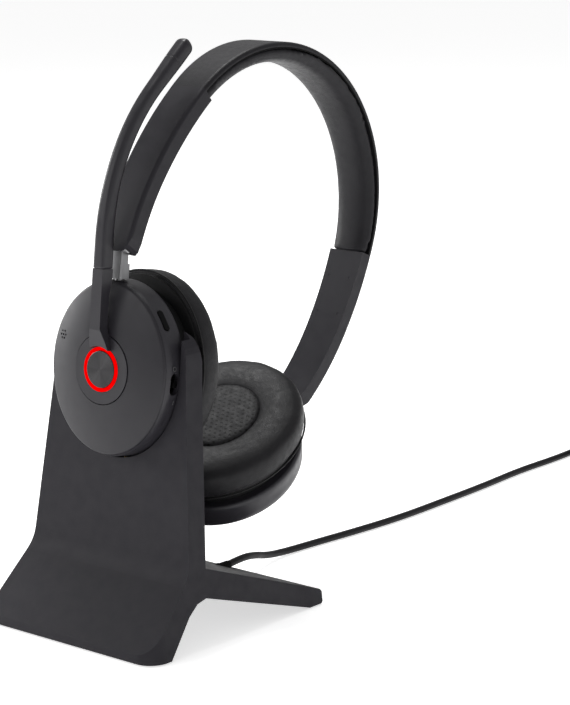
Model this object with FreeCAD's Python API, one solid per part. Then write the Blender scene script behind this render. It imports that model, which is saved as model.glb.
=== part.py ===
"""A wireless office headset with its boom microphone, standing in its charging stand.

Millimetres, +Z up, +Y towards the back of the stand, +X to the right of someone facing it.
Everything is drawn with the stand's front edge at y = 0 and moved to the origin at the end:
the middle of the bottom of the object's box, without the free cord.

Frames: each ear cup is drawn with its hub at the origin, +Y pointing in to the ear and +Z up
its own face. The headband is drawn with the centre of its crown at the origin, +Y running
from the docked cup to the free cup and +Z up through the crown.
"""
import FreeCAD, Part
import math
import os

V = FreeCAD.Vector
X_AXIS, Y_AXIS, Z_AXIS = V(1, 0, 0), V(0, 1, 0), V(0, 0, 1)

# ---- Clearances ----
RUN = 0.05            # radial running clearance of a pin or spindle in its hole
FIT = 0.2             # gap round a cover, board or insert in its pocket
MOVE = 0.35           # gap between pieces that move past each other

# ---- Stand ----
LEAN = 5.55           # degrees that the upright and the docked cup lean back
FOOT_EDGE = 4.0       # height of the front foot's blunt front edge
FOLD_Y, FOLD_Z = 24.0, 28.5      # where the front foot turns into the upright
FOLD_HALF = 40.1      # half width there
BASE_HALF = 43.6      # half width on the table
NECK_Z, NECK_HALF = 88.5, 34.0   # where the upright meets the cradle, and its half width
PLATE = 9.0           # thickness of the upright
LEG_ROOT_Y, LEG_ROOT_Z = 41.2, 26.6   # a point on the rear leg's top
LEG_END_Y = 98.6      # back edge of the rear leg
LEG_END_THICK = 6.0
HORN_Z = 118.6        # top of the cradle's two horns
HORN_ROUND = 12.0     # radius of their outer top corners
WALL = 2.2
DOCK_T0 = 10.8        # front of the charging block, in the cup's frame
DOCK_PIN_T, DOCK_PIN_R = 12.0, 0.8   # its two sprung pins
PAD_PROUD = 0.5       # rubber feet below the plastic
PAD_SINK = 0.8        # and up inside it

# ---- Ear cup (both) ----
HUB_Y, HUB_Z = 21.04, 101.27     # hub of the docked cup in the stand
FACE_W, FACE_H = 28.4, 32.4      # half sizes of the domed face
RIM_W, RIM_H = 29.5, 33.3        # half sizes of the rim at its back
FACE_T = 4.4          # depth of the face's edge
RIM_T = 14.0          # depth of the rim's back
CUP_NECK_W, CUP_NECK_H = 26.0, 29.6
BAFFLE_T = 20.6       # front of the plate that the cushion clips to
BAFFLE_W, BAFFLE_H = 29.6, 34.6
CUSHION_T0, CUSHION_T1 = 22.2, 34.3
CUSHION_W, CUSHION_H = 32.0, 36.8
CUSHION_HOLE_W, CUSHION_HOLE_H = 14.5, 17.0
CUP_WALL = 1.7
RIM_WALL = 2.3
HUB_R = 13.0          # turning hub of the boom
POST_R = 8.45         # fixed post that the boom hub turns on
LED_IN = 7.1
BUTTON_R = 6.9
DRIVER_R = 14.0

# ---- Stem between cup and arm ----
PIN_T, PIN_V = 6.06, 45.4        # tilt pin in the cup's frame
SPINDLE_T = 7.2       # depth of the spindle that the cup swivels on
EYE_R = 1.9
PIN_R = 0.9
SPINDLE_R = 1.5
BUSH_R = 2.6
BUSH_LONG = 3.4       # length of the bush inside the rim's wall
STEM_HALF = 3.5

# ---- Boom ----
BOOM_W = 5.0
BOOM_D = 5.6
BOOM_T = -1.7         # depth of the straight part's centre line
BOOM_JOINT_V = 37.5   # joint between root and tube
BOOM_BEND_V = 48.3
BOOM_BEND_R = 80.0
BOOM_TURN = 44.0
BOOM_TIP_RUN = 25.0
BOOM_CAP = 11.0       # length of the microphone cap at the end

# ---- Headband ----
CROWN_R = 67.4
CROWN_END = 15.1      # degrees above level where the crown meets the arm
ARM_R = 148.0
ARM_LOW_R = 112.0
ARM_LOW_TURN = 17.1
ARM_THICK = 6.6
ARM_HALF_LOW = 7.7
ARM_HALF_SEAM = 8.5
CROWN_HALF = 10.4
ARM_WALL = 1.8
ARM_SPLIT = 5.0       # depth of the parting line between arm shell and inner cover
CROWN_SKIN = 2.0
PAD_TOP = 3.1
CROWN_THICK = 9.0
SPRING_DEPTH, SPRING_THICK, SPRING_HALF = 2.15, 0.6, 3.7
SLIDER_DEPTH = 3.1    # depth of the sliding strip's and tilt pin's centre in the arm
SLIDER_THICK = 1.3
SLIDER_HALF = 4.5
SLIDER_TOP = 2.2      # degrees below the bend where the strip ends
PIN_INSET = 1.2       # degrees that the tilt pin lies inside the arm's end
TILT_NEAR = 31.02     # degrees that each cup looks up from the line between the arms
TILT_FAR = 26.5
SWIVEL_FAR = 13.0

# ---- Cord ----
CORD_R = 1.45
RELIEF = 8.0          # length of the sleeve that the cord leaves by
NOTCH_HALF = 5.2      # the notch in the rear leg's top that it lies in
NOTCH_Z = 6.4
ROUTE = [             # chosen by hand: over the leg's edge, down to the table and straight back
    (-0.5, 93.0, 8.9), (-1.6, 103.0, 9.3), (-4.0, 114.0, 7.3), (-7.5, 126.0, 3.6),
    (-9.5, 140.0, 1.6), (-8.0, 158.0, 1.55), (-5.0, 184.0, 1.6), (-3.0, 214.0, 1.55),
    (-3.6, 246.0, 1.6), (-4.6, 280.0, 1.55), (-7.0, 314.0, 1.6), (-6.2, 346.0, 1.55),
    (-7.9, 374.5, 1.6),
]
COIL_X, COIL_Y = 11.5, 374.5
COIL_R = 16.5         # middle of the turns
COIL_ROWS = 3         # cord diameters across and up
TAIL = [(11.5, 393.9, 7.2), (24.0, 394.2, 5.4), (35.0, 389.0, 2.9), (42.0, 377.0, 2.2)]
PLUG_W, PLUG_H = 12.0, 4.5
PLUG_TURN = 145.0     # degrees from +Y towards +X


# ======================= small helpers =======================
def box(x0, x1, y0, y1, z0, z1):
    return Part.makeBox(x1 - x0, y1 - y0, z1 - z0, V(x0, y0, z0))


def rod(radius, start, end):
    along = end - start
    return Part.makeCylinder(radius, along.Length, start, along)


def ring(outer, inner, start, end):
    return rod(outer, start, end).cut(rod(inner, start, end))


def line(a, b):
    return Part.makeLine(V(0, *a), V(0, *b))


def polygon_prism(points, half):
    """Prism of half width half about x = 0 on an outline of (y, z) points."""
    wire = Part.makePolygon([V(-half, y, z) for y, z in points + points[:1]])
    return Part.Face(wire).extrude(V(2 * half, 0, 0))


def front_prism(points, y0, y1):
    """Prism from y0 to y1 on an outline of (x, z) points, given for one side and mirrored."""
    outline = points + [(-x, z) for x, z in reversed(points)]
    wire = Part.makePolygon([V(x, y0, z) for x, z in outline + outline[:1]])
    return Part.Face(wire).extrude(V(0, y1 - y0, 0))


def oval_wire(half_w, half_h, t):
    if half_h > half_w:
        curve = Part.Ellipse(V(0, t, half_h), V(half_w, t, 0), V(0, t, 0))
    else:
        curve = Part.Ellipse(V(half_w, t, 0), V(0, t, half_h), V(0, t, 0))
    return Part.Wire(curve.toShape())


def oval(half_w, half_h, t0, t1):
    return Part.Face(oval_wire(half_w, half_h, t0)).extrude(V(0, t1 - t0, 0))


def oval_ring(outer, inner, t0, t1):
    return oval(*outer, t0, t1).cut(oval(*inner, t0, t1))


def fillet_where(shape, radius, test):
    edges = [edge for edge in shape.Edges if test(edge)]
    return shape.makeFillet(radius, edges)


def group(shapes):
    return Part.makeCompound(shapes)


def placed(shape, placement):
    copy = shape.copy()
    copy.Placement = placement.multiply(copy.Placement)
    return copy


# ======================= frames =======================
def near_cup_frame():
    return FreeCAD.Placement(V(0, HUB_Y, HUB_Z), FreeCAD.Rotation(X_AXIS, -LEAN))


def slider_pin():
    """Tilt pin on the free side, in the headband's frame, as (y, z)."""
    point = polar(arcs()[2][0], ARM_LOW_R - SLIDER_DEPTH, PIN_INSET - ARM_LOW_TURN)
    return point.y, point.z


def headband_frame():
    """The band hangs on the docked cup's tilt pin, leaning back from it."""
    roll = FreeCAD.Rotation(X_AXIS, -LEAN - TILT_NEAR)
    pin = near_cup_frame().multVec(V(0, PIN_T, PIN_V))
    y, z = slider_pin()
    return FreeCAD.Placement(pin - roll.multVec(V(0, -y, z)), roll)


def far_stem_frame():
    """Frame of the free cup before it swivels: it hangs on its own tilt pin."""
    y, z = slider_pin()
    lift = FreeCAD.Placement(V(0, y, z), FreeCAD.Rotation(X_AXIS, -TILT_FAR))
    turn = FreeCAD.Placement(V(0, 0, 0), FreeCAD.Rotation(Z_AXIS, 180.0))
    drop = FreeCAD.Placement(V(0, -PIN_T, -PIN_V), FreeCAD.Rotation())
    return headband_frame().multiply(lift).multiply(turn).multiply(drop)


def far_cup_frame():
    """The free cup, swivelled on its stem's spindle."""
    out = FreeCAD.Placement(V(0, SPINDLE_T, 0), FreeCAD.Rotation(Z_AXIS, SWIVEL_FAR))
    back = FreeCAD.Placement(V(0, -SPINDLE_T, 0), FreeCAD.Rotation())
    return far_stem_frame().multiply(out).multiply(back)


# ======================= stand =======================
def front_y(z):
    """The upright's front face at height z."""
    return FOLD_Y + (z - FOLD_Z) * math.tan(math.radians(LEAN))


def back_y(z):
    return front_y(z) + PLATE / math.cos(math.radians(LEAN))


def leg_slope():
    return (LEG_ROOT_Z - LEG_END_THICK) / (LEG_END_Y - LEG_ROOT_Y)


def leg_top(y):
    return LEG_ROOT_Z - (y - LEG_ROOT_Y) * leg_slope()


def leg_under(y):
    return max(0.0, (LEG_END_Y - 5.0 - y) * 0.30)


def width_mask():
    """Front view of the stand: it tapers from the table up to the cradle."""
    taper = (FOLD_HALF - NECK_HALF) / (NECK_Z - FOLD_Z)
    top_half = NECK_HALF - (HORN_Z - NECK_Z) * taper * 0.45
    outline = [(BASE_HALF, -1), (BASE_HALF, 0), (FOLD_HALF, FOLD_Z), (NECK_HALF, NECK_Z)]
    steps = 8
    for k in range(steps + 1):
        angle = math.radians(90.0 * k / steps)
        outline.append((top_half - HORN_ROUND * (1 - math.cos(angle)),
                        HORN_Z - HORN_ROUND * (1 - math.sin(angle))))
    return front_prism(outline, -5, LEG_END_Y + 5)


def stand_blank():
    """Side view of foot, upright and leg as one outline."""
    seam = LEG_ROOT_Y
    root = back_y(LEG_ROOT_Z + 4)
    outline = [
        (0, 0), (0, FOOT_EDGE), (FOLD_Y, FOLD_Z), (front_y(HORN_Z), HORN_Z),
        (front_y(HORN_Z) + 2.5, HORN_Z), (front_y(HORN_Z) + 6.2, HORN_Z - 4.5),
        (back_y(HORN_Z - 13), HORN_Z - 13), (root, leg_top(root)), (seam, leg_top(seam)),
        (seam, leg_under(seam)), (32.0, 18.6), (27.0, 17.6), (22.0, 14.0), (10.0, 0),
    ]
    blank = polygon_prism(outline, 60).common(width_mask())
    return blank


def cradle_cut():
    """Space for the cup: its rim in front, its narrower neck behind, both open upwards."""
    gap = 0.5
    rim_w, rim_h = RIM_W + gap, RIM_H + gap
    neck_w, neck_h = CUP_NECK_W + gap + 0.5, CUP_NECK_H + gap + 0.5
    tall = 40.0
    deep = 14.0 + gap
    front = oval(rim_w, rim_h, -5, deep).fuse(box(-rim_w, rim_w, -5, deep, 0, tall))
    back = oval(neck_w, neck_h, -5, 30).fuse(box(-neck_w, neck_w, -5, 30, 0, tall))
    return placed(front.fuse(back), near_cup_frame())


def rounded_front_corners(shape):
    """Round the front foot's two corners in plan."""
    tests = []
    for edge in shape.Edges:
        mid = edge.valueAt((edge.FirstParameter + edge.LastParameter) / 2)
        if abs(mid.y) < 0.01 and abs(mid.x) > BASE_HALF - 2:
            tests.append(edge)
    return shape.makeFillet(8.0, tests)


def stand_body():
    blank = rounded_front_corners(stand_blank())
    fold = []
    for edge in blank.Edges:
        ends = [vertex.Point for vertex in edge.Vertexes]
        if len(ends) == 2 and all(abs(p.y - FOLD_Y) < 0.01 and abs(p.z - FOLD_Z) < 0.01 for p in ends):
            fold.append(edge)
    blank = blank.makeFillet(14.0, fold)
    body = blank.cut(cradle_cut()).cut(box(-60, 60, -5, 60, -2, PAD_PROUD))
    for x0, x1, y0, y1 in front_pads():
        body = body.cut(box(x0, x1, y0, y1, 0, PAD_PROUD + PAD_SINK))
    body = body.cut(back_pocket(0)).cut(weight_pocket(0))
    body = body.cut(contact_pocket())
    for x, z in panel_screws():
        body = body.cut(rod(0.85, V(x, back_y(z) - 6.9, z), V(x, back_y(z) - 1, z)))
    return body


PANEL = (27.0, 33.5, 60.0)       # half width, bottom and top of the upright's back panel


def upright_frame(z):
    """Frame on the upright's back face at height z, with +Y out of that face."""
    return FreeCAD.Placement(V(0, back_y(z), z), FreeCAD.Rotation(X_AXIS, -LEAN))


def back_pocket(shrink):
    """Board pocket in the back of the upright; shrink gives what fits in it."""
    half, low, high = PANEL
    mid = (low + high) / 2
    tall = (high - low) / 2 - shrink
    depth = PLATE - WALL - shrink
    return placed(box(-half + shrink, half - shrink, -depth, 1, -tall, tall), upright_frame(mid))


def panel_screws():
    half, low, high = PANEL
    return [(x, z) for x in (-half + 4.5, half - 4.5) for z in (low + 5.0, high - 5.0)]


def back_panel():
    """Flush cover over the board pocket, on four pillars that its screws pass through."""
    half, low, high = PANEL
    mid = (low + high) / 2
    tall = (high - low) / 2 - FIT
    panel = placed(box(-half + FIT, half - FIT, -1.8, 0, -tall, tall), upright_frame(mid))
    for x, z in panel_screws():
        y = back_y(z)
        panel = panel.fuse(rod(2.4, V(x, y - 6.5, z), V(x, y - 1.4, z)))
        panel = panel.cut(rod(1.2, V(x, y - 8, z), V(x, y + 1, z)))
    return panel.removeSplitter()


def charge_board():
    half, low, high = PANEL
    mid = (low + high) / 2
    board = placed(box(-17, 17, -5.6, -4.4, -11.5, 11.5), upright_frame(mid))
    chips = [(-9, 4, 4, 4), (5, -3, 5, 5), (8, 7, 2.5, 2.5), (-8, -7, 3, 2)]
    for x, z, half_x, half_z in chips:
        chip = box(x - half_x, x + half_x, -4.4, -3.0, z - half_z, z + half_z)
        board = board.fuse(placed(chip, upright_frame(mid)))
    legs = [box(x - 1, x + 1, -6.5, -5.6, z - 1, z + 1) for x in (-15, 15) for z in (-11, 11)]
    for leg in legs:
        board = board.fuse(placed(leg, upright_frame(mid)))
    return board


def screw(radius, head_radius, length, head=1.0):
    """Screw along +Y: the head's outer face at y = 0 and the shank behind it, at negative y."""
    shank = rod(radius, V(0, -length, 0), V(0, -head, 0))
    top = rod(head_radius, V(0, -head, 0), V(0, 0, 0))
    slot = box(-0.25, 0.25, -head * 0.5, 1, -head_radius * 0.6, head_radius * 0.6)
    cross = box(-head_radius * 0.6, head_radius * 0.6, -head * 0.5, 1, -0.25, 0.25)
    return top.fuse(shank).cut(slot).cut(cross)


def foot_frame():
    """Frame on the underside of the sloping front foot, +Y along the slope, +Z out below."""
    rise = math.degrees(math.atan2(FOLD_Z - FOOT_EDGE, FOLD_Y))
    return FreeCAD.Placement(V(0, 16.0, 7.0), FreeCAD.Rotation(X_AXIS, rise + 180.0))


WEIGHT = (30.0, 5.6, 6.2)        # half width, half length and depth of the ballast pocket


def weight_pocket(shrink):
    half, long, deep = WEIGHT
    shape = box(-half + shrink, half - shrink, -long + shrink, long - shrink, -deep + shrink, 6)
    return placed(shape, foot_frame())


def stand_weight():
    half, long, deep = WEIGHT
    shape = box(-half + FIT, half - FIT, -long + FIT, long - FIT, -deep, -deep + 4.0)
    return placed(shape, foot_frame())


def weight_cover():
    half, long, deep = WEIGHT
    shape = box(-half + FIT, half - FIT, -long + FIT, long - FIT, -deep + 4.0, -deep + 5.4)
    return placed(shape, foot_frame())


def rear_leg():
    seam = LEG_ROOT_Y + 0.0
    end = LEG_END_Y
    outline = [
        (seam, leg_top(seam)), (end - 1.0, leg_top(end - 1.0)), (end, leg_top(end) - 0.8),
        (end, PAD_PROUD + 0.8), (end - 0.8, PAD_PROUD), (end - 8.0, PAD_PROUD),
        (seam, leg_under(seam)),
    ]
    leg = polygon_prism(outline, 60).common(width_mask())
    for x0, x1, y0, y1 in leg_pads():
        leg = leg.cut(box(x0, x1, y0, y1, 0, PAD_PROUD + PAD_SINK))
    channel = polygon_prism(
        [(seam + 4, leg_under(seam + 4) - 3), (seam + 4, leg_top(seam + 4) - WALL),
         (end - 15, leg_top(end - 15) - WALL), (end - 15, leg_under(end - 15) - 3)], 7.0)
    notch_y = ROUTE[0][1] - RELIEF + 1.8
    notch = box(-NOTCH_HALF, NOTCH_HALF, notch_y + FIT, end + 2, NOTCH_Z, 20)
    socket = box(-3.0, 3.0, notch_y - 2.2, notch_y + 1, NOTCH_Z, 9.9)
    bore = rod(2.4, V(0, notch_y - 2, 8.6), V(0, notch_y + 2, 8.7))
    leg = leg.cut(channel).cut(notch).cut(socket).cut(bore)
    for x, y in leg_screws():
        leg = leg.cut(rod(1.2, V(x, y, -1), V(x, y, leg_top(y) - 1.6)))
    return leg


def leg_screws():
    return [(x, LEG_ROOT_Y + 7.0) for x in (-30.0, 30.0)]


def leg_channel_cover():
    """Strip that closes the cord's channel under the rear leg."""
    y0, y1 = LEG_ROOT_Y + 4 + FIT, LEG_END_Y - 15 - FIT
    outline = [(y0, leg_under(y0)), (y1, leg_under(y1)), (y1, leg_under(y1) + 1.2),
               (y0, leg_under(y0) + 1.2)]
    return polygon_prism(outline, 7.0 - FIT)


def front_pads():
    return [(-34.0, -8.0, 2.0, 8.0), (8.0, 34.0, 2.0, 8.0)]


def leg_pads():
    return [(-38.0, -8.0, LEG_END_Y - 6.8, LEG_END_Y - 1.6), (8.0, 38.0, LEG_END_Y - 6.8, LEG_END_Y - 1.6)]


def stand_feet():
    """Two rubber strips under the front foot and two under the rear leg's end."""
    return group([box(*pad, 0, PAD_PROUD + PAD_SINK) for pad in front_pads() + leg_pads()])


def contact_pocket():
    """Slot in the cradle's floor for the charging block."""
    return placed(box(-10.2, 10.2, DOCK_T0 - 0.1, 17.0, -RIM_H - 5.2, -RIM_H + 6), near_cup_frame())


def charge_block():
    """Block in the cradle's floor, hollowed to the rim's curve."""
    block = box(-10.0, 10.0, DOCK_T0, 16.8, -RIM_H - 5.0, -RIM_H + 3.2)
    block = block.cut(oval(RIM_W + 0.45, RIM_H + 0.45, 5.0, 20.0))
    for x in (-4.0, 4.0):
        hole = rod(DOCK_PIN_R + RUN, V(x, DOCK_PIN_T, -RIM_H - 4), V(x, DOCK_PIN_T, -RIM_H + 5))
        block = block.cut(hole)
    return placed(block, near_cup_frame())


def charge_pins():
    pins = []
    for x in (-4.0, 4.0):
        top = -RIM_H * math.sqrt(1 - (x / RIM_W) ** 2) - MOVE
        pins.append(rod(DOCK_PIN_R, V(x, DOCK_PIN_T, -RIM_H - 3.9), V(x, DOCK_PIN_T, top)))
    return placed(group(pins), near_cup_frame())


def stand_screws():
    pieces = []
    for x, z in panel_screws():
        piece = screw(0.8, 1.15, 6.6)
        piece.translate(V(x, back_y(z) - 0.1, z))
        pieces.append(piece)
    for x, y in leg_screws():
        piece = screw(0.95, 1.15, leg_top(y) - 1.9 - leg_under(y))
        piece.rotate(V(0, 0, 0), X_AXIS, -90)
        piece.translate(V(x, y, leg_under(y) + 0.2))
        pieces.append(piece)
    return group(pieces)


def cord_relief():
    """Tapered sleeve that the cord leaves the rear leg through, in line with its first run."""
    end = V(*ROUTE[0])
    along = V(*ROUTE[1]) - end
    along.normalize()
    start = end - along * RELIEF
    cone = Part.makeCone(2.3, CORD_R + 0.35, RELIEF, start, along)
    collar = rod(2.7, start, start + along * 1.8)
    return cone.fuse(collar)


# ======================= cord =======================
def corner_arcs(points):
    """For each inner point: its radius, and where its tangent arc starts, passes and ends."""
    found = []
    for before, at, after in zip(points, points[1:], points[2:]):
        back, on = before - at, after - at
        turn = math.pi - back.getAngle(on)
        radius = 0.45 * min(back.Length, on.Length) / math.tan(turn / 2)
        reach = radius * math.tan(turn / 2)
        back.normalize()
        on.normalize()
        middle = back + on
        middle.normalize()
        depth = radius / math.cos(turn / 2) - radius
        found.append((radius, at + back * reach, at + middle * depth, at + on * reach))
    return found


def tube(points, radius):
    """Round tube along straight runs joined by tangent arcs."""
    arcs_found = corner_arcs(points)
    edges = []
    here = points[0]
    for _, start, middle, end in arcs_found:
        edges.append(Part.LineSegment(here, start).toShape())
        edges.append(Part.Arc(start, middle, end).toShape())
        here = end
    edges.append(Part.LineSegment(here, points[-1]).toShape())
    path = Part.Wire(edges)
    section = Part.Wire(Part.Circle(points[0], points[1] - points[0], radius).toShape())
    solid = path.makePipeShell([section], True, False)
    length = sum(edge.Length for edge in edges)
    radii = [round(found[0], 1) for found in arcs_found]
    print("cord run: length", round(length, 1), "radii", radii,
          "volume ratio", round(solid.Volume / (math.pi * radius ** 2 * length), 3))
    return solid


def cord_lead():
    return tube([V(*point) for point in ROUTE], CORD_R)


def cord_coil():
    """Outer shape of the coil: a ring three cords wide and three high."""
    half = COIL_ROWS * CORD_R
    base = V(COIL_X, COIL_Y, 0.1)
    top = base + V(0, 0, 2 * half)
    return ring(COIL_R + half, COIL_R - half, base, top)


def cord_tie():
    """Soft strap round the coil's bundle on the side away from the stand."""
    half = COIL_ROWS * CORD_R
    wide = 2.5
    thick = 0.8
    gap = 0.1
    near = math.sqrt((COIL_R - half) ** 2 - wide ** 2) - gap
    far = COIL_R + half + gap
    top = 2 * half + 0.1 + gap
    outer = box(near - thick, far + thick, -wide, wide, 0.02, top + thick)
    strap = outer.cut(box(near, far, -wide - 1, wide + 1, -1, top))
    strap.translate(V(COIL_X, COIL_Y, 0))
    return strap


def plug_frame():
    turn = FreeCAD.Rotation(Z_AXIS, -PLUG_TURN)
    return FreeCAD.Placement(V(*TAIL[-1]), turn)


def cord_tail():
    return tube([V(*point) for point in TAIL], CORD_R)


def plug_grip():
    """Moulded grip of the plug, with its bend relief; lies flat on the table."""
    low = -TAIL[-1][2] + 0.05
    half = -low
    body = box(-PLUG_W / 2 - 1.6, PLUG_W / 2 + 1.6, 9.0, 31.0, -half, half + 1.9)
    body = body.makeFillet(1.8, [e for e in body.Edges if abs(e.tangentAt(e.FirstParameter).y) > 0.9])
    relief = Part.makeCone(CORD_R + 0.3, CORD_R + 1.4 if CORD_R + 1.4 < half else half - 0.05,
                           9.0, V(0, 0, 0), Y_AXIS)
    body = body.fuse(relief)
    return placed(body, plug_frame())


def plug_shell():
    """Metal shell of the plug with its tongue, open at the mouth."""
    low = -TAIL[-1][2] + 0.05
    mid = (low + (-low + 1.9)) / 2
    wide, tall = PLUG_W / 2, PLUG_H / 2
    shell = box(-wide, wide, 31.0, 43.0, mid - tall, mid + tall)
    shell = shell.cut(box(-wide + 0.35, wide - 0.35, 32.0, 44.0, mid - tall + 0.35, mid + tall - 0.35))
    for x in (-2.7, 2.7):
        shell = shell.cut(box(x - 1.1, x + 1.1, 35.2, 37.8, mid, mid + tall + 1))
    tongue = box(-wide + 0.35, wide - 0.35, 32.0, 42.0, mid + tall - 2.2, mid + tall - 0.35)
    return placed(shell.fuse(tongue), plug_frame())


# ======================= ear cups =======================
def squeezed(solid, ratio):
    """Solid narrowed along X, for an oval from a turned shape."""
    scale = FreeCAD.Matrix()
    scale.scale(V(ratio, 1, 1))
    return solid.transformGeometry(scale)


def domed_cover():
    """Domed oval face of a cup."""
    start = V(0, 0.1, 0)
    through = V(0, 1.15, FACE_H - 11.0)
    edge = V(0, 3.35, FACE_H - 0.9)
    corner = V(0, 3.75, FACE_H - 0.25)
    rim = V(0, FACE_T, FACE_H)
    low_start = V(0, start.y + CUP_WALL, 0)
    low_flat = V(0, start.y + CUP_WALL + 0.1, HUB_R + 3.5)
    low_bend = V(0, edge.y + 0.95, edge.z - 3.0)
    low_rim = V(0, FACE_T, FACE_H - 1.9)
    edges = [
        Part.Arc(start, through, edge).toShape(),
        Part.Arc(edge, corner, rim).toShape(),
        Part.makeLine(rim, low_rim),
        Part.makeLine(low_rim, low_bend),
        Part.makeLine(low_bend, low_flat),
        Part.makeLine(low_flat, low_start),
        Part.makeLine(low_start, start),
    ]
    turned = Part.Face(Part.Wire(edges)).revolve(V(0, 0, 0), Y_AXIS, 360)
    return squeezed(turned, FACE_W / FACE_H)


def rim_outer():
    """Solid that bounds the rim: bowed sides and a rounded back edge."""
    wires = [
        oval_wire(FACE_W + 0.1, FACE_H + 0.1, FACE_T), oval_wire(FACE_W + 0.75, FACE_H + 0.6, 8.0),
        oval_wire(RIM_W, RIM_H, 11.5), oval_wire(RIM_W - 0.1, RIM_H - 0.1, RIM_T - 0.9),
        oval_wire(RIM_W - 1.0, RIM_H - 1.0, RIM_T),
    ]
    return Part.makeLoft(wires, True, False)


def cup_rim():
    """Band of the housing between the face and the neck, hollow, with a floor at its back."""
    rim = rim_outer()
    room = oval(RIM_W - RIM_WALL, RIM_H - RIM_WALL, FACE_T - 1, RIM_T - 1.6)
    rim = rim.cut(room).cut(rod(9.5, V(0, RIM_T - 3, 0), V(0, RIM_T + 1, 0)))
    top = RIM_H - RIM_WALL
    boss = box(-4.4, 4.4, FACE_T + 0.3, RIM_T - 1.6, top - BUSH_LONG, RIM_H - 1.0)
    rim = rim.fuse(boss.common(oval(RIM_W - 1, RIM_H - 1, 0, RIM_T)))
    rim = rim.cut(bush_hole())
    for x, z in cup_screws():
        rim = rim.fuse(rod(2.1, V(x, FACE_T + 2.5, z), V(x, RIM_T - 1.0, z)))
        rim = rim.cut(rod(0.8, V(x, FACE_T + 2, z), V(x, RIM_T + 1, z)))
    return rim


def bush_hole():
    top = RIM_H - RIM_WALL
    return rod(BUSH_R, V(0, SPINDLE_T, top - BUSH_LONG - 3), V(0, SPINDLE_T, RIM_H + 3))


def cup_screws():
    return [(sx * 15.5, sz * 19.5) for sx in (-1, 1) for sz in (-1, 1)]


def swivel_bush():
    """Bush in the rim's top that the stem's spindle turns in."""
    low = RIM_H - RIM_WALL - BUSH_LONG
    bush = ring(BUSH_R - 0.02, SPINDLE_R + RUN, V(0, SPINDLE_T, low), V(0, SPINDLE_T, RIM_H - 0.6))
    return bush.cut(box(-5, 5, 0, FACE_T + 0.2, 0, 50))


def cup_baffle():
    """Neck and baffle plate that carry the driver and the cushion."""
    neck = oval_ring((CUP_NECK_W, CUP_NECK_H), (CUP_NECK_W - 1.5, CUP_NECK_H - 1.5), RIM_T, BAFFLE_T)
    plate = oval(BAFFLE_W, BAFFLE_H, BAFFLE_T, BAFFLE_T + 1.6)
    plate = plate.fuse(oval_ring((CUSHION_HOLE_W + 2.2, CUSHION_HOLE_H + 2.2),
                                 (CUSHION_HOLE_W + 1.0, CUSHION_HOLE_H + 1.0),
                                 BAFFLE_T, BAFFLE_T + 1.6))
    baffle = neck.fuse(plate).cut(rod(DRIVER_R - 1.2, V(0, BAFFLE_T - 1, 0), V(0, BAFFLE_T + 3, 0)))
    baffle = baffle.cut(rod(DRIVER_R + FIT / 2, V(0, BAFFLE_T - 5, 0), V(0, BAFFLE_T + 0.6, 0)))
    for x, z in cup_screws():
        baffle = baffle.fuse(rod(1.9, V(x, RIM_T, z), V(x, BAFFLE_T, z)))
        baffle = baffle.cut(rod(0.85, V(x, RIM_T - 1, z), V(x, BAFFLE_T + 3, z)))
        baffle = baffle.cut(rod(1.05, V(x, BAFFLE_T + 0.3, z), V(x, BAFFLE_T + 3, z)))
    return baffle


def cup_cushion():
    """Soft ear pad as a plain closed ring."""
    wires = [
        oval_wire(BAFFLE_W - 0.4, BAFFLE_H - 0.4, CUSHION_T0),
        oval_wire(CUSHION_W - 0.6, CUSHION_H - 0.4, CUSHION_T0 + 3.5),
        oval_wire(CUSHION_W, CUSHION_H, CUSHION_T1 - 4.6),
        oval_wire(CUSHION_W - 2.2, CUSHION_H - 2.2, CUSHION_T1 - 1.4),
        oval_wire(CUSHION_W - 7.5, CUSHION_H - 7.5, CUSHION_T1),
    ]
    pad = Part.makeLoft(wires, True, False)
    return pad.cut(oval(CUSHION_HOLE_W, CUSHION_HOLE_H, CUSHION_T0 - 1, CUSHION_T1 + 5))


def speaker_cloth():
    """Perforated disc in the middle of the ear pad."""
    inset = 0.3
    return oval(CUSHION_HOLE_W - inset, CUSHION_HOLE_H - inset, CUSHION_T1 - 5.5, CUSHION_T1 - 2.6).fuse(
        oval_ring((CUSHION_HOLE_W - inset, CUSHION_HOLE_H - inset),
                  (CUSHION_HOLE_W - 1.6, CUSHION_HOLE_H - 1.6), CUSHION_T0, CUSHION_T1 - 5.5))


def driver():
    frame = rod(DRIVER_R, V(0, BAFFLE_T - 2.6, 0), V(0, BAFFLE_T + 0.6, 0))
    magnet = rod(8.0, V(0, BAFFLE_T - 5.6, 0), V(0, BAFFLE_T - 2.6, 0))
    cap = rod(5.0, V(0, BAFFLE_T + 0.6, 0), V(0, BAFFLE_T + 1.4, 0))
    return frame.fuse(magnet).fuse(cap)


def cup_screw_set():
    pieces = []
    for x, z in cup_screws():
        piece = screw(0.75, 0.95, BAFFLE_T + 1.4 - (FACE_T + 4.0))
        piece.translate(V(x, BAFFLE_T + 1.4, z))
        pieces.append(piece)
    return group(pieces)


def circuit_board():
    """Main board of the docked cup, with its chips and the call switch."""
    board = oval(FACE_W - 4.2, FACE_H - 8.0, 7.4, 8.4)
    for x, z in cup_screws():
        board = board.cut(rod(2.4, V(x, 7, z), V(x, 9, z)))
    board = board.fuse(box(-2.2, 2.2, 6.2, 7.4, -2.2, 2.2))
    board = board.fuse(rod(1.0, V(0, 5.9, 0), V(0, 6.2, 0)))
    for x, z, half in ((-13, 12, 3.2), (12, 14, 2.2), (-14, -9, 2.4), (12, -14, 2.8)):
        board = board.fuse(box(x - half, x + half, 6.4, 7.4, z - half, z + half))
    return board


def battery():
    return box(-15.0, 15.0, 8.8, 12.0, -11.0, 11.0)


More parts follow.
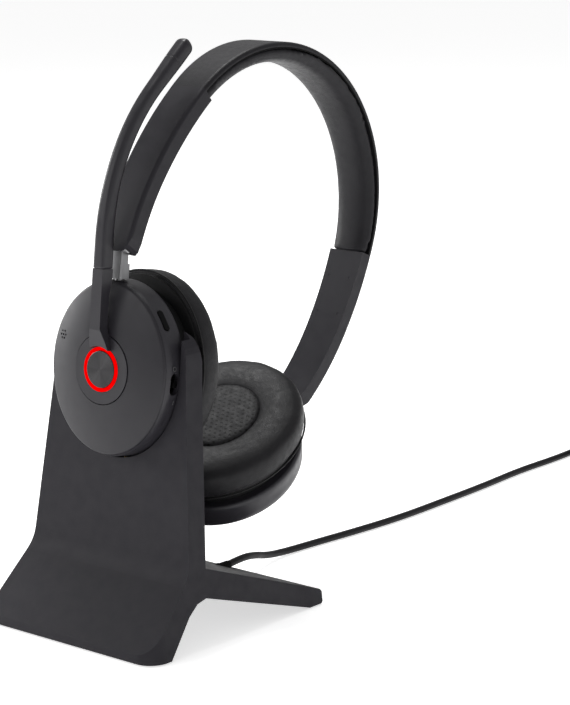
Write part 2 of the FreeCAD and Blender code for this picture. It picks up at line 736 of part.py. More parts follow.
def hub_post():
    """Fixed post that the boom's hub turns on; it stands on the main board."""
    post = ring(POST_R, LED_IN + FIT, V(0, 1.1, 0), V(0, 5.4, 0))
    flange = ring(12.0, LED_IN + FIT, V(0, 3.7, 0), V(0, 4.7, 0))
    legs = [rod(1.3, V(x, 4.7, z), V(x, 7.4, z)) for x, z in ((-7.5, 7.5), (7.5, 7.5), (0, -10.4))]
    post = post.fuse(flange)
    for leg in legs:
        post = post.fuse(leg)
    return post


def led_ring():
    return ring(POST_R - 0.1, LED_IN, V(0, -0.35, 0), V(0, 1.1, 0))


def call_button():
    """Metal button in the middle of the hub, with its plunger; travels in."""
    dish = 0.25
    top = rod(BUTTON_R, V(0, -0.45, 0), V(0, 1.4, 0))
    top = top.makeFillet(0.3, [edge for edge in top.Edges if abs(edge.BoundBox.YMax + 0.45) < 0.01])
    plunger = rod(2.0, V(0, 1.4, 0), V(0, 5.2, 0))
    skirt = rod(BUTTON_R - dish, V(0, 1.4, 0), V(0, 2.0, 0))
    return top.fuse(skirt).fuse(plunger)


def rim_point(angle, t):
    """Point on the rim's widest oval at an angle from up towards +X, and its outward normal."""
    x, z = RIM_W * math.sin(angle), RIM_H * math.cos(angle)
    out = V(x / RIM_W ** 2, 0, z / RIM_H ** 2)
    out.normalize()
    return V(x, t, z), out


def rim_control_frame(degrees, t):
    """Frame on the rim's side: +Z outwards, +Y along the rim downwards, +X towards the face."""
    at, out = rim_point(math.radians(degrees), t)
    down = out.cross(V(0, -1, 0))
    down.normalize()
    m = FreeCAD.Matrix(0, down.x, out.x, at.x, -1, down.y, out.y, at.y, 0, down.z, out.z, at.z, 0, 0, 0, 1)
    return FreeCAD.Placement(m)


MUTE = (51.5, 7.6, 4.1, 1.25)    # angle, depth, half length and half width of the mute key
POWER = (94.0, 8.4, 3.9, 1.9)    # the same of the power switch's slot


def slot_shape(half_long, half_wide, z0, z1):
    """Rounded slot along Y in a rim control's frame."""
    straight = half_long - half_wide
    shape = box(-half_wide, half_wide, -straight, straight, z0, z1)
    for y in (-straight, straight):
        shape = shape.fuse(rod(half_wide, V(0, y, z0), V(0, y, z1)))
    return shape.removeSplitter()


def near_rim():
    rim = cup_rim()
    for angle, t, half_long, half_wide in (MUTE, POWER):
        pocket = slot_shape(half_long + FIT, half_wide + FIT, -4.0, 4.0)
        rim = rim.cut(placed(pocket, rim_control_frame(angle, t)))
    for x in (-4.0, 4.0):
        rim = rim.cut(rod(1.6, V(x, DOCK_PIN_T, -RIM_H + 4.0), V(x, DOCK_PIN_T, -RIM_H - 2)))
    return rim


def mute_button():
    """Long key in the rim; travels inwards."""
    angle, t, half_long, half_wide = MUTE
    key = slot_shape(half_long, half_wide, -3.1, -0.1)
    flange = slot_shape(half_long + 0.5, half_wide + 0.5, -3.7, -3.1)
    return placed(key.fuse(flange), rim_control_frame(angle, t))


def power_switch():
    """Sliding knob in its slot; its foot is wider than the slot."""
    angle, t, half_long, half_wide = POWER
    knob = slot_shape(1.5, 1.1, -2.0, -0.2)
    foot = box(-half_wide - 0.4, half_wide + 0.4, -1.8, 1.8, -3.9, -3.1)
    web = box(-1.0, 1.0, -1.0, 1.0, -3.1, -2.0)
    return placed(knob.fuse(web).fuse(foot), rim_control_frame(angle, t))


def contacts():
    """Two charging pads in the bottom of the docked cup."""
    pads = []
    for x in (-4.0, 4.0):
        surface = -RIM_H * math.sqrt(1 - (x / RIM_W) ** 2)
        pads.append(rod(1.5, V(x, DOCK_PIN_T, surface + 0.35), V(x, DOCK_PIN_T, surface + 2.4)))
    return group(pads)


def near_cover():
    cover = domed_cover().cut(rod(HUB_R + MOVE, V(0, -5, 0), V(0, 10, 0)))
    centre_x, centre_z = -22.2, 10.2
    pitch = 1.5
    spots = [(0, 0)] + [(pitch * math.cos(math.radians(60 * k)), pitch * math.sin(math.radians(60 * k)))
                        for k in range(6)]
    for x, z in spots:
        cover = cover.cut(rod(0.45, V(centre_x + x, -3, centre_z + z), V(centre_x + x, 7, centre_z + z)))
    return cover


def far_cover():
    """The free cup's face has a plain disc outlined by a groove in place of the boom's hub."""
    return domed_cover().cut(ring(HUB_R + MOVE, HUB_R, V(0, -1, 0), V(0, 0.9, 0)))


# ======================= boom =======================
def boom_hub():
    """Turning hub with the root of the boom, which stands proud of the face."""
    disc = ring(HUB_R, POST_R + RUN, V(0, 0.0, 0), V(0, 2.3, 0))
    flange = ring(HUB_R + 1.6, POST_R + RUN, V(0, 2.3, 0), V(0, 3.3, 0))
    front = BOOM_T - BOOM_D / 2
    back = BOOM_T + BOOM_D / 2
    outline = [(-1.6, 7.0), (front, 15.0), (front, BOOM_JOINT_V), (back, BOOM_JOINT_V),
               (back, 34.2), (-0.3, 28.0), (-0.3, 13.5), (0.6, 12.4), (0.6, 7.0)]
    bar = polygon_prism(outline, BOOM_W / 2)
    wide = front_prism([(4.6, 7.0), (4.0, 10.5), (BOOM_W / 2, 16.0), (BOOM_W / 2, 60.0)], -10, 10)
    foot = polygon_prism([(-1.6, 7.0), (-1.2, 7.0), (0.6, 7.0), (0.6, 12.4), (-0.3, 13.5),
                          (-0.3, 16.0), (front, 16.0), (front, 15.0)], 4.6)
    root = bar.fuse(foot.common(wide)).cut(rod(POST_R + 0.3, V(0, -10, 0), V(0, 0.01, 0)))
    hub = disc.fuse(flange).fuse(root)
    return hub.cut(rod(POST_R + RUN, V(0, -10, 0), V(0, 10, 0)))


def boom_path_point(angle):
    """Centre line of the boom's bend at an angle from its start."""
    radians = math.radians(angle)
    return (BOOM_T + BOOM_BEND_R * (1 - math.cos(radians)), BOOM_BEND_V + BOOM_BEND_R * math.sin(radians))


def boom_strip(half_depth, half_width, start_v, end_run):
    """Bar along the boom's centre line, bent in one plane."""
    centre = (BOOM_T + BOOM_BEND_R, BOOM_BEND_V)

    def on_arc(radius, angle):
        radians = math.radians(angle)
        return V(0, centre[0] - radius * math.cos(radians), centre[1] + radius * math.sin(radians))

    out_r, in_r = BOOM_BEND_R + half_depth, BOOM_BEND_R - half_depth
    radians = math.radians(BOOM_TURN)
    ahead = V(0, math.sin(radians), math.cos(radians)) * end_run
    out_end, in_end = on_arc(out_r, BOOM_TURN) + ahead, on_arc(in_r, BOOM_TURN) + ahead
    out_start = V(0, BOOM_T - half_depth, start_v)
    in_start = V(0, BOOM_T + half_depth, start_v)
    edges = [
        Part.makeLine(out_start, on_arc(out_r, 0)),
        Part.Arc(on_arc(out_r, 0), on_arc(out_r, BOOM_TURN / 2), on_arc(out_r, BOOM_TURN)).toShape(),
        Part.makeLine(on_arc(out_r, BOOM_TURN), out_end),
        Part.makeLine(out_end, in_end),
        Part.makeLine(in_end, on_arc(in_r, BOOM_TURN)),
        Part.Arc(on_arc(in_r, BOOM_TURN), on_arc(in_r, BOOM_TURN / 2), on_arc(in_r, 0)).toShape(),
        Part.makeLine(on_arc(in_r, 0), in_start),
        Part.makeLine(in_start, out_start),
    ]
    face = Part.Face(Part.Wire(edges))
    face.translate(V(-half_width, 0, 0))
    return face.extrude(V(2 * half_width, 0, 0))


def boom_tube():
    strip = boom_strip(BOOM_D / 2, BOOM_W / 2, BOOM_JOINT_V + 0.15, BOOM_TIP_RUN - BOOM_CAP)
    long_edges = [edge for edge in strip.Edges if edge.Length > 9.0]
    return strip.makeFillet(1.1, long_edges)


def boom_tip_frame():
    """Frame at the end of the boom's centre line, +Z out of the end."""
    y, z = boom_path_point(BOOM_TURN)
    radians = math.radians(BOOM_TURN)
    y += math.sin(radians) * BOOM_TIP_RUN
    z += math.cos(radians) * BOOM_TIP_RUN
    return FreeCAD.Placement(V(0, y, z), FreeCAD.Rotation(X_AXIS, -BOOM_TURN))


def boom_cap():
    """Slightly thicker microphone housing at the end of the boom."""
    half_w, half_d = BOOM_W / 2 + 0.55, BOOM_D / 2 + 0.45
    cap = box(-half_w, half_w, -half_d, half_d, -BOOM_CAP + 0.1, 0)
    cap = cap.makeFillet(1.3, [e for e in cap.Edges if abs(e.tangentAt(e.FirstParameter).z) > 0.9
                               or e.BoundBox.ZMin > -0.1])
    room = rod(1.7, V(0, 0, -BOOM_CAP - 1), V(0, 0, -4.0))
    hole = box(-1.4, 1.4, 0.4, 9.0, -5.4, -4.4)
    return placed(cap.cut(room).cut(hole), boom_tip_frame())


def boom_mic():
    return placed(rod(1.6, V(0, 0, -7.6), V(0, 0, -4.1)), boom_tip_frame())


# ======================= stems and sliders =======================
def stem():
    """Metal stem: eye on the tilt pin, flat post, and a spindle that the cup swivels on."""
    eye = rod(EYE_R, V(-STEM_HALF, PIN_T, PIN_V), V(STEM_HALF, PIN_T, PIN_V))
    step = PIN_V - 6.3
    foot = RIM_H + MOVE
    post = box(-STEM_HALF, STEM_HALF, PIN_T - EYE_R, PIN_T + EYE_R, step, PIN_V)
    thick = box(-STEM_HALF, STEM_HALF, PIN_T - EYE_R, SPINDLE_T + 2.2, foot, step)
    thick = thick.makeFillet(0.8, [e for e in thick.Edges if abs(e.tangentAt(e.FirstParameter).z) > 0.9])
    low = RIM_H - RIM_WALL - BUSH_LONG - 0.1
    spindle = rod(SPINDLE_R, V(0, SPINDLE_T, low - 0.8), V(0, SPINDLE_T, foot))
    head = rod(SPINDLE_R + 0.9, V(0, SPINDLE_T, low - 0.9), V(0, SPINDLE_T, low))
    shape = eye.fuse(post).fuse(thick).fuse(spindle).fuse(head)
    return shape.cut(rod(PIN_R + RUN, V(-9, PIN_T, PIN_V), V(9, PIN_T, PIN_V)))


def arcs():
    """Outer curve of one half of the band: centre, radius and angles of its three arcs."""
    top = math.radians(CROWN_END)
    crown = ((0.0, 0.0), CROWN_R, 90.0, CROWN_END)
    arm_centre = ((CROWN_R - ARM_R) * math.cos(top), (CROWN_R - ARM_R) * math.sin(top))
    low_centre = (arm_centre[0] + ARM_R - ARM_LOW_R, arm_centre[1])
    return [crown, (arm_centre, ARM_R, CROWN_END, 0.0), (low_centre, ARM_LOW_R, 0.0, -ARM_LOW_TURN)]


def polar(centre, radius, degrees):
    radians = math.radians(degrees)
    return V(0, centre[0] + radius * math.cos(radians), centre[1] + radius * math.sin(radians))


def strip_face(pieces, depth0, depth1):
    """Face between two depths under the outer curve, along consecutive arcs."""
    def run(depth):
        found = []
        for centre, radius, start, end in pieces:
            r = radius - depth
            ends = [polar(centre, r, start), polar(centre, r, (start + end) / 2), polar(centre, r, end)]
            found.append(Part.Arc(*ends).toShape())
        return found

    outer, inner = run(depth0), run(depth1)
    first = Part.makeLine(outer[0].valueAt(outer[0].FirstParameter), inner[0].valueAt(inner[0].FirstParameter))
    last = Part.makeLine(outer[-1].valueAt(outer[-1].LastParameter), inner[-1].valueAt(inner[-1].LastParameter))
    edges = Part.sortEdges(outer + [first, last] + inner)[0]
    return Part.Face(Part.Wire(edges))


def strip(pieces, depth0, depth1, half):
    face = strip_face(pieces, depth0, depth1)
    face.translate(V(-half, 0, 0))
    return face.extrude(V(2 * half, 0, 0))


def arm_outline():
    """Front view of the band: rounded lower ends, widening to the crown."""
    end_y, end_z = arm_end()
    seam_z = CROWN_R * math.sin(math.radians(CROWN_END))
    low = end_z - 2.0
    points = [(ARM_HALF_LOW - 5.2, low), (ARM_HALF_LOW - 2.4, low + 1.0), (ARM_HALF_LOW - 0.7, low + 3.2),
              (ARM_HALF_LOW, low + 6.4)]
    points += [(ARM_HALF_SEAM, seam_z), (CROWN_HALF, CROWN_R + 1)]
    return front_prism(points, -120, 120)


def arm_end():
    centre, radius, _, end = arcs()[2]
    point = polar(centre, radius - ARM_THICK, end)
    return point.y, point.z


def slide_line():
    """Where the free side's strip runs: from the tilt pin straight up inside the arm."""
    y, z = slider_pin()
    top = polar(arcs()[2][0], ARM_LOW_R - SLIDER_DEPTH, -SLIDER_TOP)
    return V(0, y, z), top


def slide_prism(half_thick, half_wide, below, above=0.0):
    """Bar along the strip's line, from below the pin to above the strip's top."""
    pin, top = slide_line()
    along = top - pin
    along.normalize()
    across = V(0, along.z, -along.y) * half_thick
    low, high = pin - along * below, top + along * above
    corners = [low + across, high + across, high - across, low - across]
    return polygon_prism([(c.y, c.z) for c in corners], half_wide)


def mouth_cut():
    """Space in the arm's lower end for the eye, the fork and the tilting stem."""
    y, z = slider_pin()
    lug = SLIDER_HALF + 1.0 + MOVE
    lugs = rod(EYE_R + MOVE, V(-lug, y, z), V(lug, y, z))
    way_out = slide_prism(EYE_R + MOVE, lug, 9.0).common(box(-20, 20, y - 30, y + 30, z - 9, z))
    swing = polygon_prism([(y + 1.6, z + 1.8), (y + 2.45, z), (y + 2.2, z - 9.0), (y - 9.5, z - 9.0),
                           (y - 2.6, z + 1.6)], STEM_HALF + MOVE)
    return lugs.fuse(way_out).fuse(swing)


def arm_shell():
    low = arcs()[1:]
    body = strip(low, 0, ARM_SPLIT, ARM_HALF_SEAM + 1)
    body = body.common(arm_outline())
    body = rounded_outside(body)
    room = [(low[0][0], ARM_R, CROWN_END - 1.2, 0.0), (low[1][0], ARM_LOW_R, 0.0, -ARM_LOW_TURN - 2.0)]
    body = body.cut(strip(room, ARM_WALL, ARM_SPLIT + 0.5, ARM_HALF_LOW - 1.8))
    pillars = arm_rods(1.25, ARM_WALL - 0.3, ARM_SPLIT - 0.05)
    holes = arm_rods(0.7, ARM_WALL + 0.2, ARM_THICK)
    seam_gap = strip([(low[0][0], low[0][1], CROWN_END + 1.0, 8.0)], SPRING_DEPTH - 0.15,
                     SPRING_DEPTH + SPRING_THICK + 0.15, SPRING_HALF + FIT)
    return body.fuse(pillars).cut(holes).cut(seam_gap).cut(mouth_cut())


def rounded_outside(body):
    """Soften the long outer edges of an arm shell or the crown's cover."""
    edges = []
    for edge in body.Edges:
        mid = edge.valueAt((edge.FirstParameter + edge.LastParameter) / 2)
        ahead = edge.tangentAt((edge.FirstParameter + edge.LastParameter) / 2)
        if abs(ahead.x) < 0.3 and edge.Length > 20 and on_outside(mid):
            edges.append(edge)
    return body.makeFillet(1.4, edges)


def on_outside(point):
    """Whether a point lies on the band's outer curve."""
    side = abs(point.y)
    for centre, radius, start, end in arcs():
        angle = math.degrees(math.atan2(point.z - centre[1], side - centre[0]))
        reach = math.hypot(side - centre[0], point.z - centre[1])
        if min(start, end) - 0.5 <= angle <= max(start, end) + 0.5 and abs(reach - radius) < 0.02:
            return True
    return False


def arm_screw_angles():
    return [10.5, 4.0]


def arm_rods(radius, depth0, depth1):
    """Four rods through an arm, two at each screw station."""
    centre, reach = arcs()[1][0], ARM_R
    rods = None
    for angle in arm_screw_angles():
        near, far = polar(centre, reach - depth0, angle), polar(centre, reach - depth1, angle)
        for x in (-5.2, 5.2):
            piece = rod(radius, near + V(x, 0, 0), far + V(x, 0, 0))
            rods = piece if rods is None else rods.fuse(piece)
    return rods


def arm_cover():
    """Inner cover of an arm, with a notch for the stem."""
    low = arcs()[1:]
    cover = strip(low, ARM_SPLIT, ARM_THICK, ARM_HALF_SEAM + 1).common(arm_outline())
    return cover.cut(mouth_cut()).cut(arm_rods(0.7, ARM_WALL, ARM_THICK + 1))


def slider():
    """Flat strip that runs in the arm, forked round the stem's eye at its lower end."""
    y, z = slider_pin()
    half = STEM_HALF + 0.1
    body = slide_prism(SLIDER_THICK / 2, SLIDER_HALF, 0.0)
    body = body.cut(rod(EYE_R + MOVE, V(-half, y, z), V(half, y, z)))
    for side in (-1, 1):
        inner, outer = side * half, side * (SLIDER_HALF + 1.0)
        body = body.fuse(rod(EYE_R, V(inner, y, z), V(outer, y, z)))
    return body.cut(rod(PIN_R, V(-9, y, z), V(9, y, z)))


def tilt_pin():
    y, z = slider_pin()
    reach = SLIDER_HALF + 1.0
    return rod(PIN_R, V(-reach, y, z), V(reach, y, z))


def crown_arc():
    return [((0.0, 0.0), CROWN_R, 180.0 - CROWN_END, CROWN_END)]


def crown_cover():
    cover = strip(crown_arc(), 0, CROWN_SKIN, CROWN_HALF + 1).common(arm_outline())
    return rounded_outside(cover)


def crown_pad():
    """Soft pad under the crown as a plain closed solid."""
    pad = strip(crown_arc(), PAD_TOP, CROWN_THICK, CROWN_HALF + 1)
    return pad.common(arm_outline())


def band_spring():
    """Sprung steel strip from arm to arm, over the crown."""
    depth0, depth1 = SPRING_DEPTH, SPRING_DEPTH + SPRING_THICK
    centre, radius, _, _ = arcs()[1]
    right = (centre, radius, CROWN_END, 2.0)
    mirror_centre = (-centre[0], centre[1])
    left = (mirror_centre, radius, 178.0, 180.0 - CROWN_END)
    return strip([left] + crown_arc() + [right], depth0, depth1, SPRING_HALF)


def arm_screw_set():
    screws = arm_rods(0.7, ARM_WALL + 0.4, ARM_THICK - 0.1)
    return group([screws, mirrored(screws)])


def mirrored(shape):
    return shape.mirror(V(0, 0, 0), Y_AXIS)


# ======================= assembly =======================
def stand_pieces():
    return {
        "stand_body": stand_body(), "stand_back_panel": back_panel(), "stand_rear_leg": rear_leg(),
        "stand_leg_cover": leg_channel_cover(), "stand_weight": stand_weight(),
        "stand_weight_cover": weight_cover(), "stand_feet": stand_feet(),
        "charge_block": charge_block(), "charge_pins": charge_pins(), "charge_board": charge_board(),
        "stand_screws": stand_screws(), "cord_relief": cord_relief(),
    }


def cord_pieces():
    return {
        "cord_lead": cord_lead(), "cord_coil": cord_coil(), "cord_tie": cord_tie(),
        "cord_tail": cord_tail(), "plug_grip": plug_grip(), "plug_shell": plug_shell(),
    }


def shared_cup_pieces(side):
    """What both cups have alike, in the cup's own frame."""
    return {
        side + "_baffle": cup_baffle(), side + "_driver": driver(), side + "_cushion": cup_cushion(),
        side + "_speaker_cloth": speaker_cloth(), side + "_swivel_bush": swivel_bush(),
        side + "_cup_screws": cup_screw_set(),
    }


def near_cup_pieces():
    pieces = shared_cup_pieces("near")
    pieces.update({
        "near_cover": near_cover(), "near_rim": near_rim(), "main_board": circuit_board(),
        "battery": battery(), "hub_post": hub_post(), "led_ring": led_ring(),
        "charge_contacts": contacts(), "call_button": call_button(), "mute_button": mute_button(),
        "power_switch": power_switch(), "boom_hub": boom_hub(), "boom_tube": boom_tube(),
        "boom_cap": boom_cap(), "boom_mic": boom_mic(), "near_stem": stem(),
    })
    return pieces


def far_cup_pieces():
    pieces = shared_cup_pieces("far")
    pieces.update({"far_cover": far_cover(), "far_rim": cup_rim()})
    return pieces


def headband_pieces():
    shell, cover, rail, pin = arm_shell(), arm_cover(), slider(), tilt_pin()
    return {
        "near_arm_shell": mirrored(shell), "far_arm_shell": shell, "near_arm_cover": mirrored(cover),
        "far_arm_cover": cover, "near_slider": mirrored(rail), "far_slider": rail,
        "near_tilt_pin": mirrored(pin), "far_tilt_pin": pin, "crown_cover": crown_cover(),
        "crown_pad": crown_pad(), "band_spring": band_spring(), "arm_screws": arm_screw_set(),
    }


def all_pieces():
    """Every piece in the stand's frame, object first and cord last."""
    pieces = stand_pieces()
    frames = [(near_cup_pieces(), near_cup_frame()), (far_cup_pieces(), far_cup_frame()),
              ({"far_stem": stem()}, far_stem_frame()), (headband_pieces(), headband_frame())]
    for group_of, frame in frames:
        for name, shape in group_of.items():
            pieces[name] = placed(shape, frame)
    return pieces


def origin_shift(pieces):
    """Move that puts the origin at the middle of the bottom of the object's box."""
    box_of = FreeCAD.BoundBox()
    for shape in pieces.values():
        box_of.add(shape.optimalBoundingBox(False, False))
    return V(-box_of.Center.x, -box_of.Center.y, -box_of.ZMin)


def main():
    os.makedirs("parts", exist_ok=True)
    pieces = all_pieces()
    shift = origin_shift(pieces)
    pieces.update(cord_pieces())
    for name, shape in pieces.items():
        shape.translate(shift)
        shape.exportStep("parts/" + name + ".step")
        if not shape.isValid():
            print("NOT VALID", name)
    print("pieces", len(pieces), "origin shift", shift)


if __name__ == "__main__":
    main()
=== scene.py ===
"""An office headset on its charging stand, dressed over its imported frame.

The lead, the ear pads, the perforated discs, the crown pad and the trims are made
here. The hard pieces are the frame's own and get their finishes here. Metres, +Z up.
"""
import logging
import math
from dataclasses import dataclass, field
from enum import Enum
from typing import Callable, Iterable, Sequence

import bmesh
import bpy
from mathutils import Matrix, Vector, noise


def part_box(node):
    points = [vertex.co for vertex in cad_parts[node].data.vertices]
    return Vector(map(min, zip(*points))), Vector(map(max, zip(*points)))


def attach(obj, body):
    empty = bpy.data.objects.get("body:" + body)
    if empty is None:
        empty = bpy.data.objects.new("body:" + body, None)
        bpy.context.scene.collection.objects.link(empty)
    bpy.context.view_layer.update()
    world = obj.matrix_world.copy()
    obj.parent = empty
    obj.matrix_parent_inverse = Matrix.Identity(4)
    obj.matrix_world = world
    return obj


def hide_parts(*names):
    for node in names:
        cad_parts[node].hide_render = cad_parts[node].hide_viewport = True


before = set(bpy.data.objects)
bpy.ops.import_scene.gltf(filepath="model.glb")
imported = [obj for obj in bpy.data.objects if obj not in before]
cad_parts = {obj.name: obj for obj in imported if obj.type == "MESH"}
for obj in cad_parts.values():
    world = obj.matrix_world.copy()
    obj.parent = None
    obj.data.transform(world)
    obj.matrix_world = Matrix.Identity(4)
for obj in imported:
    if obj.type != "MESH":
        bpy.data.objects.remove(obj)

LOG = logging.getLogger("headset")
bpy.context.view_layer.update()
MM = 0.001
Colour = tuple[float, float, float]
Point = tuple[float, float, float]


class Side(Enum):
    """The two ear cups, by the prefix of their node names."""

    DOCKED = "near"
    FREE = "far"


class Axis(Enum):
    """Axis that a spun or brushed finish turns about or runs along."""

    X = "X"
    Y = "Y"
    Z = "Z"


# ---------------------------------------------------------------- frames
def turn(axis: Axis, degrees: float) -> Matrix:
    """Rotation about one axis through the origin."""
    return Matrix.Rotation(math.radians(degrees), 4, axis.value)


@dataclass(frozen=True)
class Pose:
    """Where the cups and the band sit, from the stand's front edge (millimetres, degrees).

    Each cup's frame has its hub at the origin, +Y in towards the ear and +Z up its face.
    The band's frame has the crown's centre at the origin, +Y towards the free cup.
    """

    lean: float = 5.55
    hub: Point = (0.0, 21.04, 101.27)
    pin_depth: float = 6.06
    pin_height: float = 45.4
    tilt_docked: float = 31.02
    tilt_free: float = 26.5
    swivel_free: float = 13.0
    spindle_depth: float = 7.2

    def front(self) -> Vector:
        """Offset of the stand's front edge from the frame's origin."""
        return Vector((0.0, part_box("stand_body")[0].y, 0.0))

    def docked_cup(self) -> Matrix:
        """Frame of the docked cup."""
        base = self.front() + Vector(self.hub) * MM
        return Matrix.Translation(base) @ turn(Axis.X, -self.lean)

    def band(self, crown: "Crown") -> Matrix:
        """Frame of the headband, which hangs on the docked cup's tilt pin.

        Args:
            crown: the band's curve.

        Returns:
            The band's frame.
        """
        pin = self.docked_cup() @ (Vector((0.0, self.pin_depth, self.pin_height)) * MM)
        roll = turn(Axis.X, -self.lean - self.tilt_docked)
        y, z = crown.pin()
        return Matrix.Translation(pin - roll @ (Vector((0.0, -y, z)) * MM)) @ roll

    def free_cup(self, crown: "Crown") -> Matrix:
        """Frame of the free cup, tilted and swivelled on the far arm.

        Args:
            crown: the band's curve.

        Returns:
            The free cup's frame.
        """
        y, z = crown.pin()
        lift = Matrix.Translation(Vector((0.0, y, z)) * MM) @ turn(Axis.X, -self.tilt_free)
        drop = Matrix.Translation(Vector((0.0, -self.pin_depth, -self.pin_height)) * MM)
        out = Matrix.Translation(Vector((0.0, self.spindle_depth, 0.0)) * MM)
        swivel = out @ turn(Axis.Z, self.swivel_free) @ out.inverted()
        return self.band(crown) @ lift @ turn(Axis.Z, 180.0) @ drop @ swivel


@dataclass(frozen=True)
class Crown:
    """Outer curve of the headband in its own frame (millimetres, degrees above level)."""

    radius: float = 67.4
    end: float = 15.1
    arm_radius: float = 148.0
    low_radius: float = 112.0
    low_turn: float = 17.1
    pin_inset: float = 1.2
    pin_depth: float = 3.1
    seam_half: float = 8.5
    top_half: float = 10.4

    def pin(self) -> tuple[float, float]:
        """Tilt pin on the free side, as y and z.

        Returns:
            The y and z of the pin in the band's frame, in millimetres.
        """
        angle = math.radians(self.pin_inset - self.low_turn)
        top = math.radians(self.end)
        reach = self.radius - self.arm_radius
        y = reach * math.cos(top) + self.arm_radius - self.low_radius
        z = reach * math.sin(top)
        radius = self.low_radius - self.pin_depth
        return y + radius * math.cos(angle), z + radius * math.sin(angle)

    def at(self, degrees: float, depth: float, across: float) -> Vector:
        """Point under the crown's curve.

        Args:
            degrees: angle from the free side's level, up over the crown.
            depth: distance in from the outer curve, in millimetres.
            across: distance from the middle along x, in millimetres.

        Returns:
            The point in the band's frame, in metres.
        """
        a = math.radians(degrees)
        r = self.radius - depth
        return Vector((across, r * math.cos(a), r * math.sin(a))) * MM

    def half_width(self, degrees: float) -> float:
        """Half width of the band at that angle, in millimetres.

        Args:
            degrees: angle from the free side's level, up over the crown.

        Returns:
            The half width, in millimetres.
        """
        seam = self.radius * math.sin(math.radians(self.end))
        height = self.radius * math.sin(math.radians(degrees))
        share = (height - seam) / (self.radius + 1.0 - seam)
        return self.seam_half + (self.top_half - self.seam_half) * share


# ---------------------------------------------------------------- finishes
class Shade:
    """One material's node graph, with short ways to add what the finishes share."""

    def __init__(self, name: str, colour: Colour, roughness: float, **surface: float) -> None:
        """Make the material and set what is the same all over it.

        Args:
            name: the material's name.
            colour: base colour, linear.
            roughness: base roughness.
            surface: other inputs of the shader, with spaces written as underscores.
        """
        self.material = bpy.data.materials.new(f"{name}_finish")
        self.material.use_nodes = True
        self.material.diffuse_color = (*colour, 1.0)
        self.tree = self.material.node_tree
        self.shader = self.tree.nodes["Principled BSDF"]
        self.shader.inputs["Base Color"].default_value = (*colour, 1.0)
        self.shader.inputs["Roughness"].default_value = roughness
        for key, value in surface.items():
            self.shader.inputs[key.replace("_", " ")].default_value = value
        self.height = None

    def add(self, kind: str, **inputs) -> bpy.types.Node:
        """Add a node; each keyword is an input, linked if it is a socket and set if not.

        Args:
            kind: the node's type.
            inputs: its inputs, with spaces written as underscores.

        Returns:
            The node.
        """
        node = self.tree.nodes.new(kind)
        for key, value in inputs.items():
            socket = node.inputs[key.replace("_", " ")]
            if isinstance(value, bpy.types.NodeSocket):
                self.tree.links.new(value, socket)
            else:
                socket.default_value = value
        return node

    def place(self, home: Matrix | None = None) -> bpy.types.NodeSocket:
        """Object coordinates in metres, seen from a frame if one is given.

        Args:
            home: the frame to see them from.

        Returns:
            The coordinates' socket.
        """
        coords = self.add("ShaderNodeTexCoord").outputs["Object"]
        if home is None:
            return coords
        back = home.inverted()
        return self.add("ShaderNodeMapping", Vector=coords, Location=back.to_translation(),
                        Rotation=back.to_euler()).outputs["Vector"]

    def speckle(self, size_mm: float, detail: float = 2.0, home: Matrix | None = None,
                stretch: Point = (1.0, 1.0, 1.0)) -> bpy.types.NodeSocket:
        """Soft random pattern with features of that size.

        Args:
            size_mm: size of one feature.
            detail: how much finer structure it has.
            home: frame that it lies in.
            stretch: how much longer the features are along each axis.

        Returns:
            The pattern's value, from 0 to 1.
        """
        shrink = tuple(1.0 / s for s in stretch)
        point = self.add("ShaderNodeVectorMath", Vector=self.place(home))
        point.operation = "MULTIPLY"
        point.inputs[1].default_value = shrink
        return self.add("ShaderNodeTexNoise", Vector=point.outputs[0], Scale=1000.0 / size_mm,
                        Detail=detail).outputs["Fac"]

    def ramp(self, value: bpy.types.NodeSocket, low: float, high: float, at: float = 0.3,
             to: float = 0.7) -> bpy.types.NodeSocket:
        """The value spread from one range to another.

        Args:
            value: the value.
            low: what it becomes at the start of its range.
            high: what it becomes at the end of its range.
            at: start of its range.
            to: end of its range.

        Returns:
            The spread value.
        """
        return self.add("ShaderNodeMapRange", Value=value, From_Min=at, From_Max=to, To_Min=low,
                        To_Max=high).outputs["Result"]

    def mix(self, share: bpy.types.NodeSocket, first: Colour, second: Colour) -> bpy.types.NodeSocket:
        """A colour between two, by the share.

        Args:
            share: how much of the second colour there is.
            first: the first colour.
            second: the second colour.

        Returns:
            The mixed colour.
        """
        node = self.tree.nodes.new("ShaderNodeMix")
        node.data_type = "RGBA"
        self.tree.links.new(share, node.inputs[0])
        node.inputs[6].default_value = (*first, 1.0)
        node.inputs[7].default_value = (*second, 1.0)
        return node.outputs[2]

    def feed(self, name: str, value: bpy.types.NodeSocket) -> None:
        """Drive one input of the shader."""
        self.tree.links.new(value, self.shader.inputs[name])

    def emboss(self, height: bpy.types.NodeSocket, depth_mm: float, strength: float = 1.0) -> None:
        """Add relief of that depth, over any relief added before.

        Args:
            height: the relief, from 0 to 1.
            depth_mm: its depth.
            strength: how strongly it shows.
        """
        bump = self.add("ShaderNodeBump", Height=height, Strength=strength, Distance=depth_mm * MM)
        if self.height is not None:
            self.tree.links.new(self.height, bump.inputs["Normal"])
        self.height = bump.outputs["Normal"]
        self.tree.links.new(self.height, self.shader.inputs["Normal"])


def scaled(colour: Colour, by: float) -> Colour:
    """The colour made lighter or darker."""
    return tuple(c * by for c in colour)


@dataclass(frozen=True)
class Finish:
    """What every finish has: its name, colour and roughness."""

    name: str
    colour: Colour
    roughness: float

    def make(self) -> bpy.types.Material:
        """The material, made once."""
        return bpy.data.materials.get(f"{self.name}_finish") or self.paint()

    def paint(self) -> bpy.types.Material:
        """Build the material."""
        raise NotImplementedError


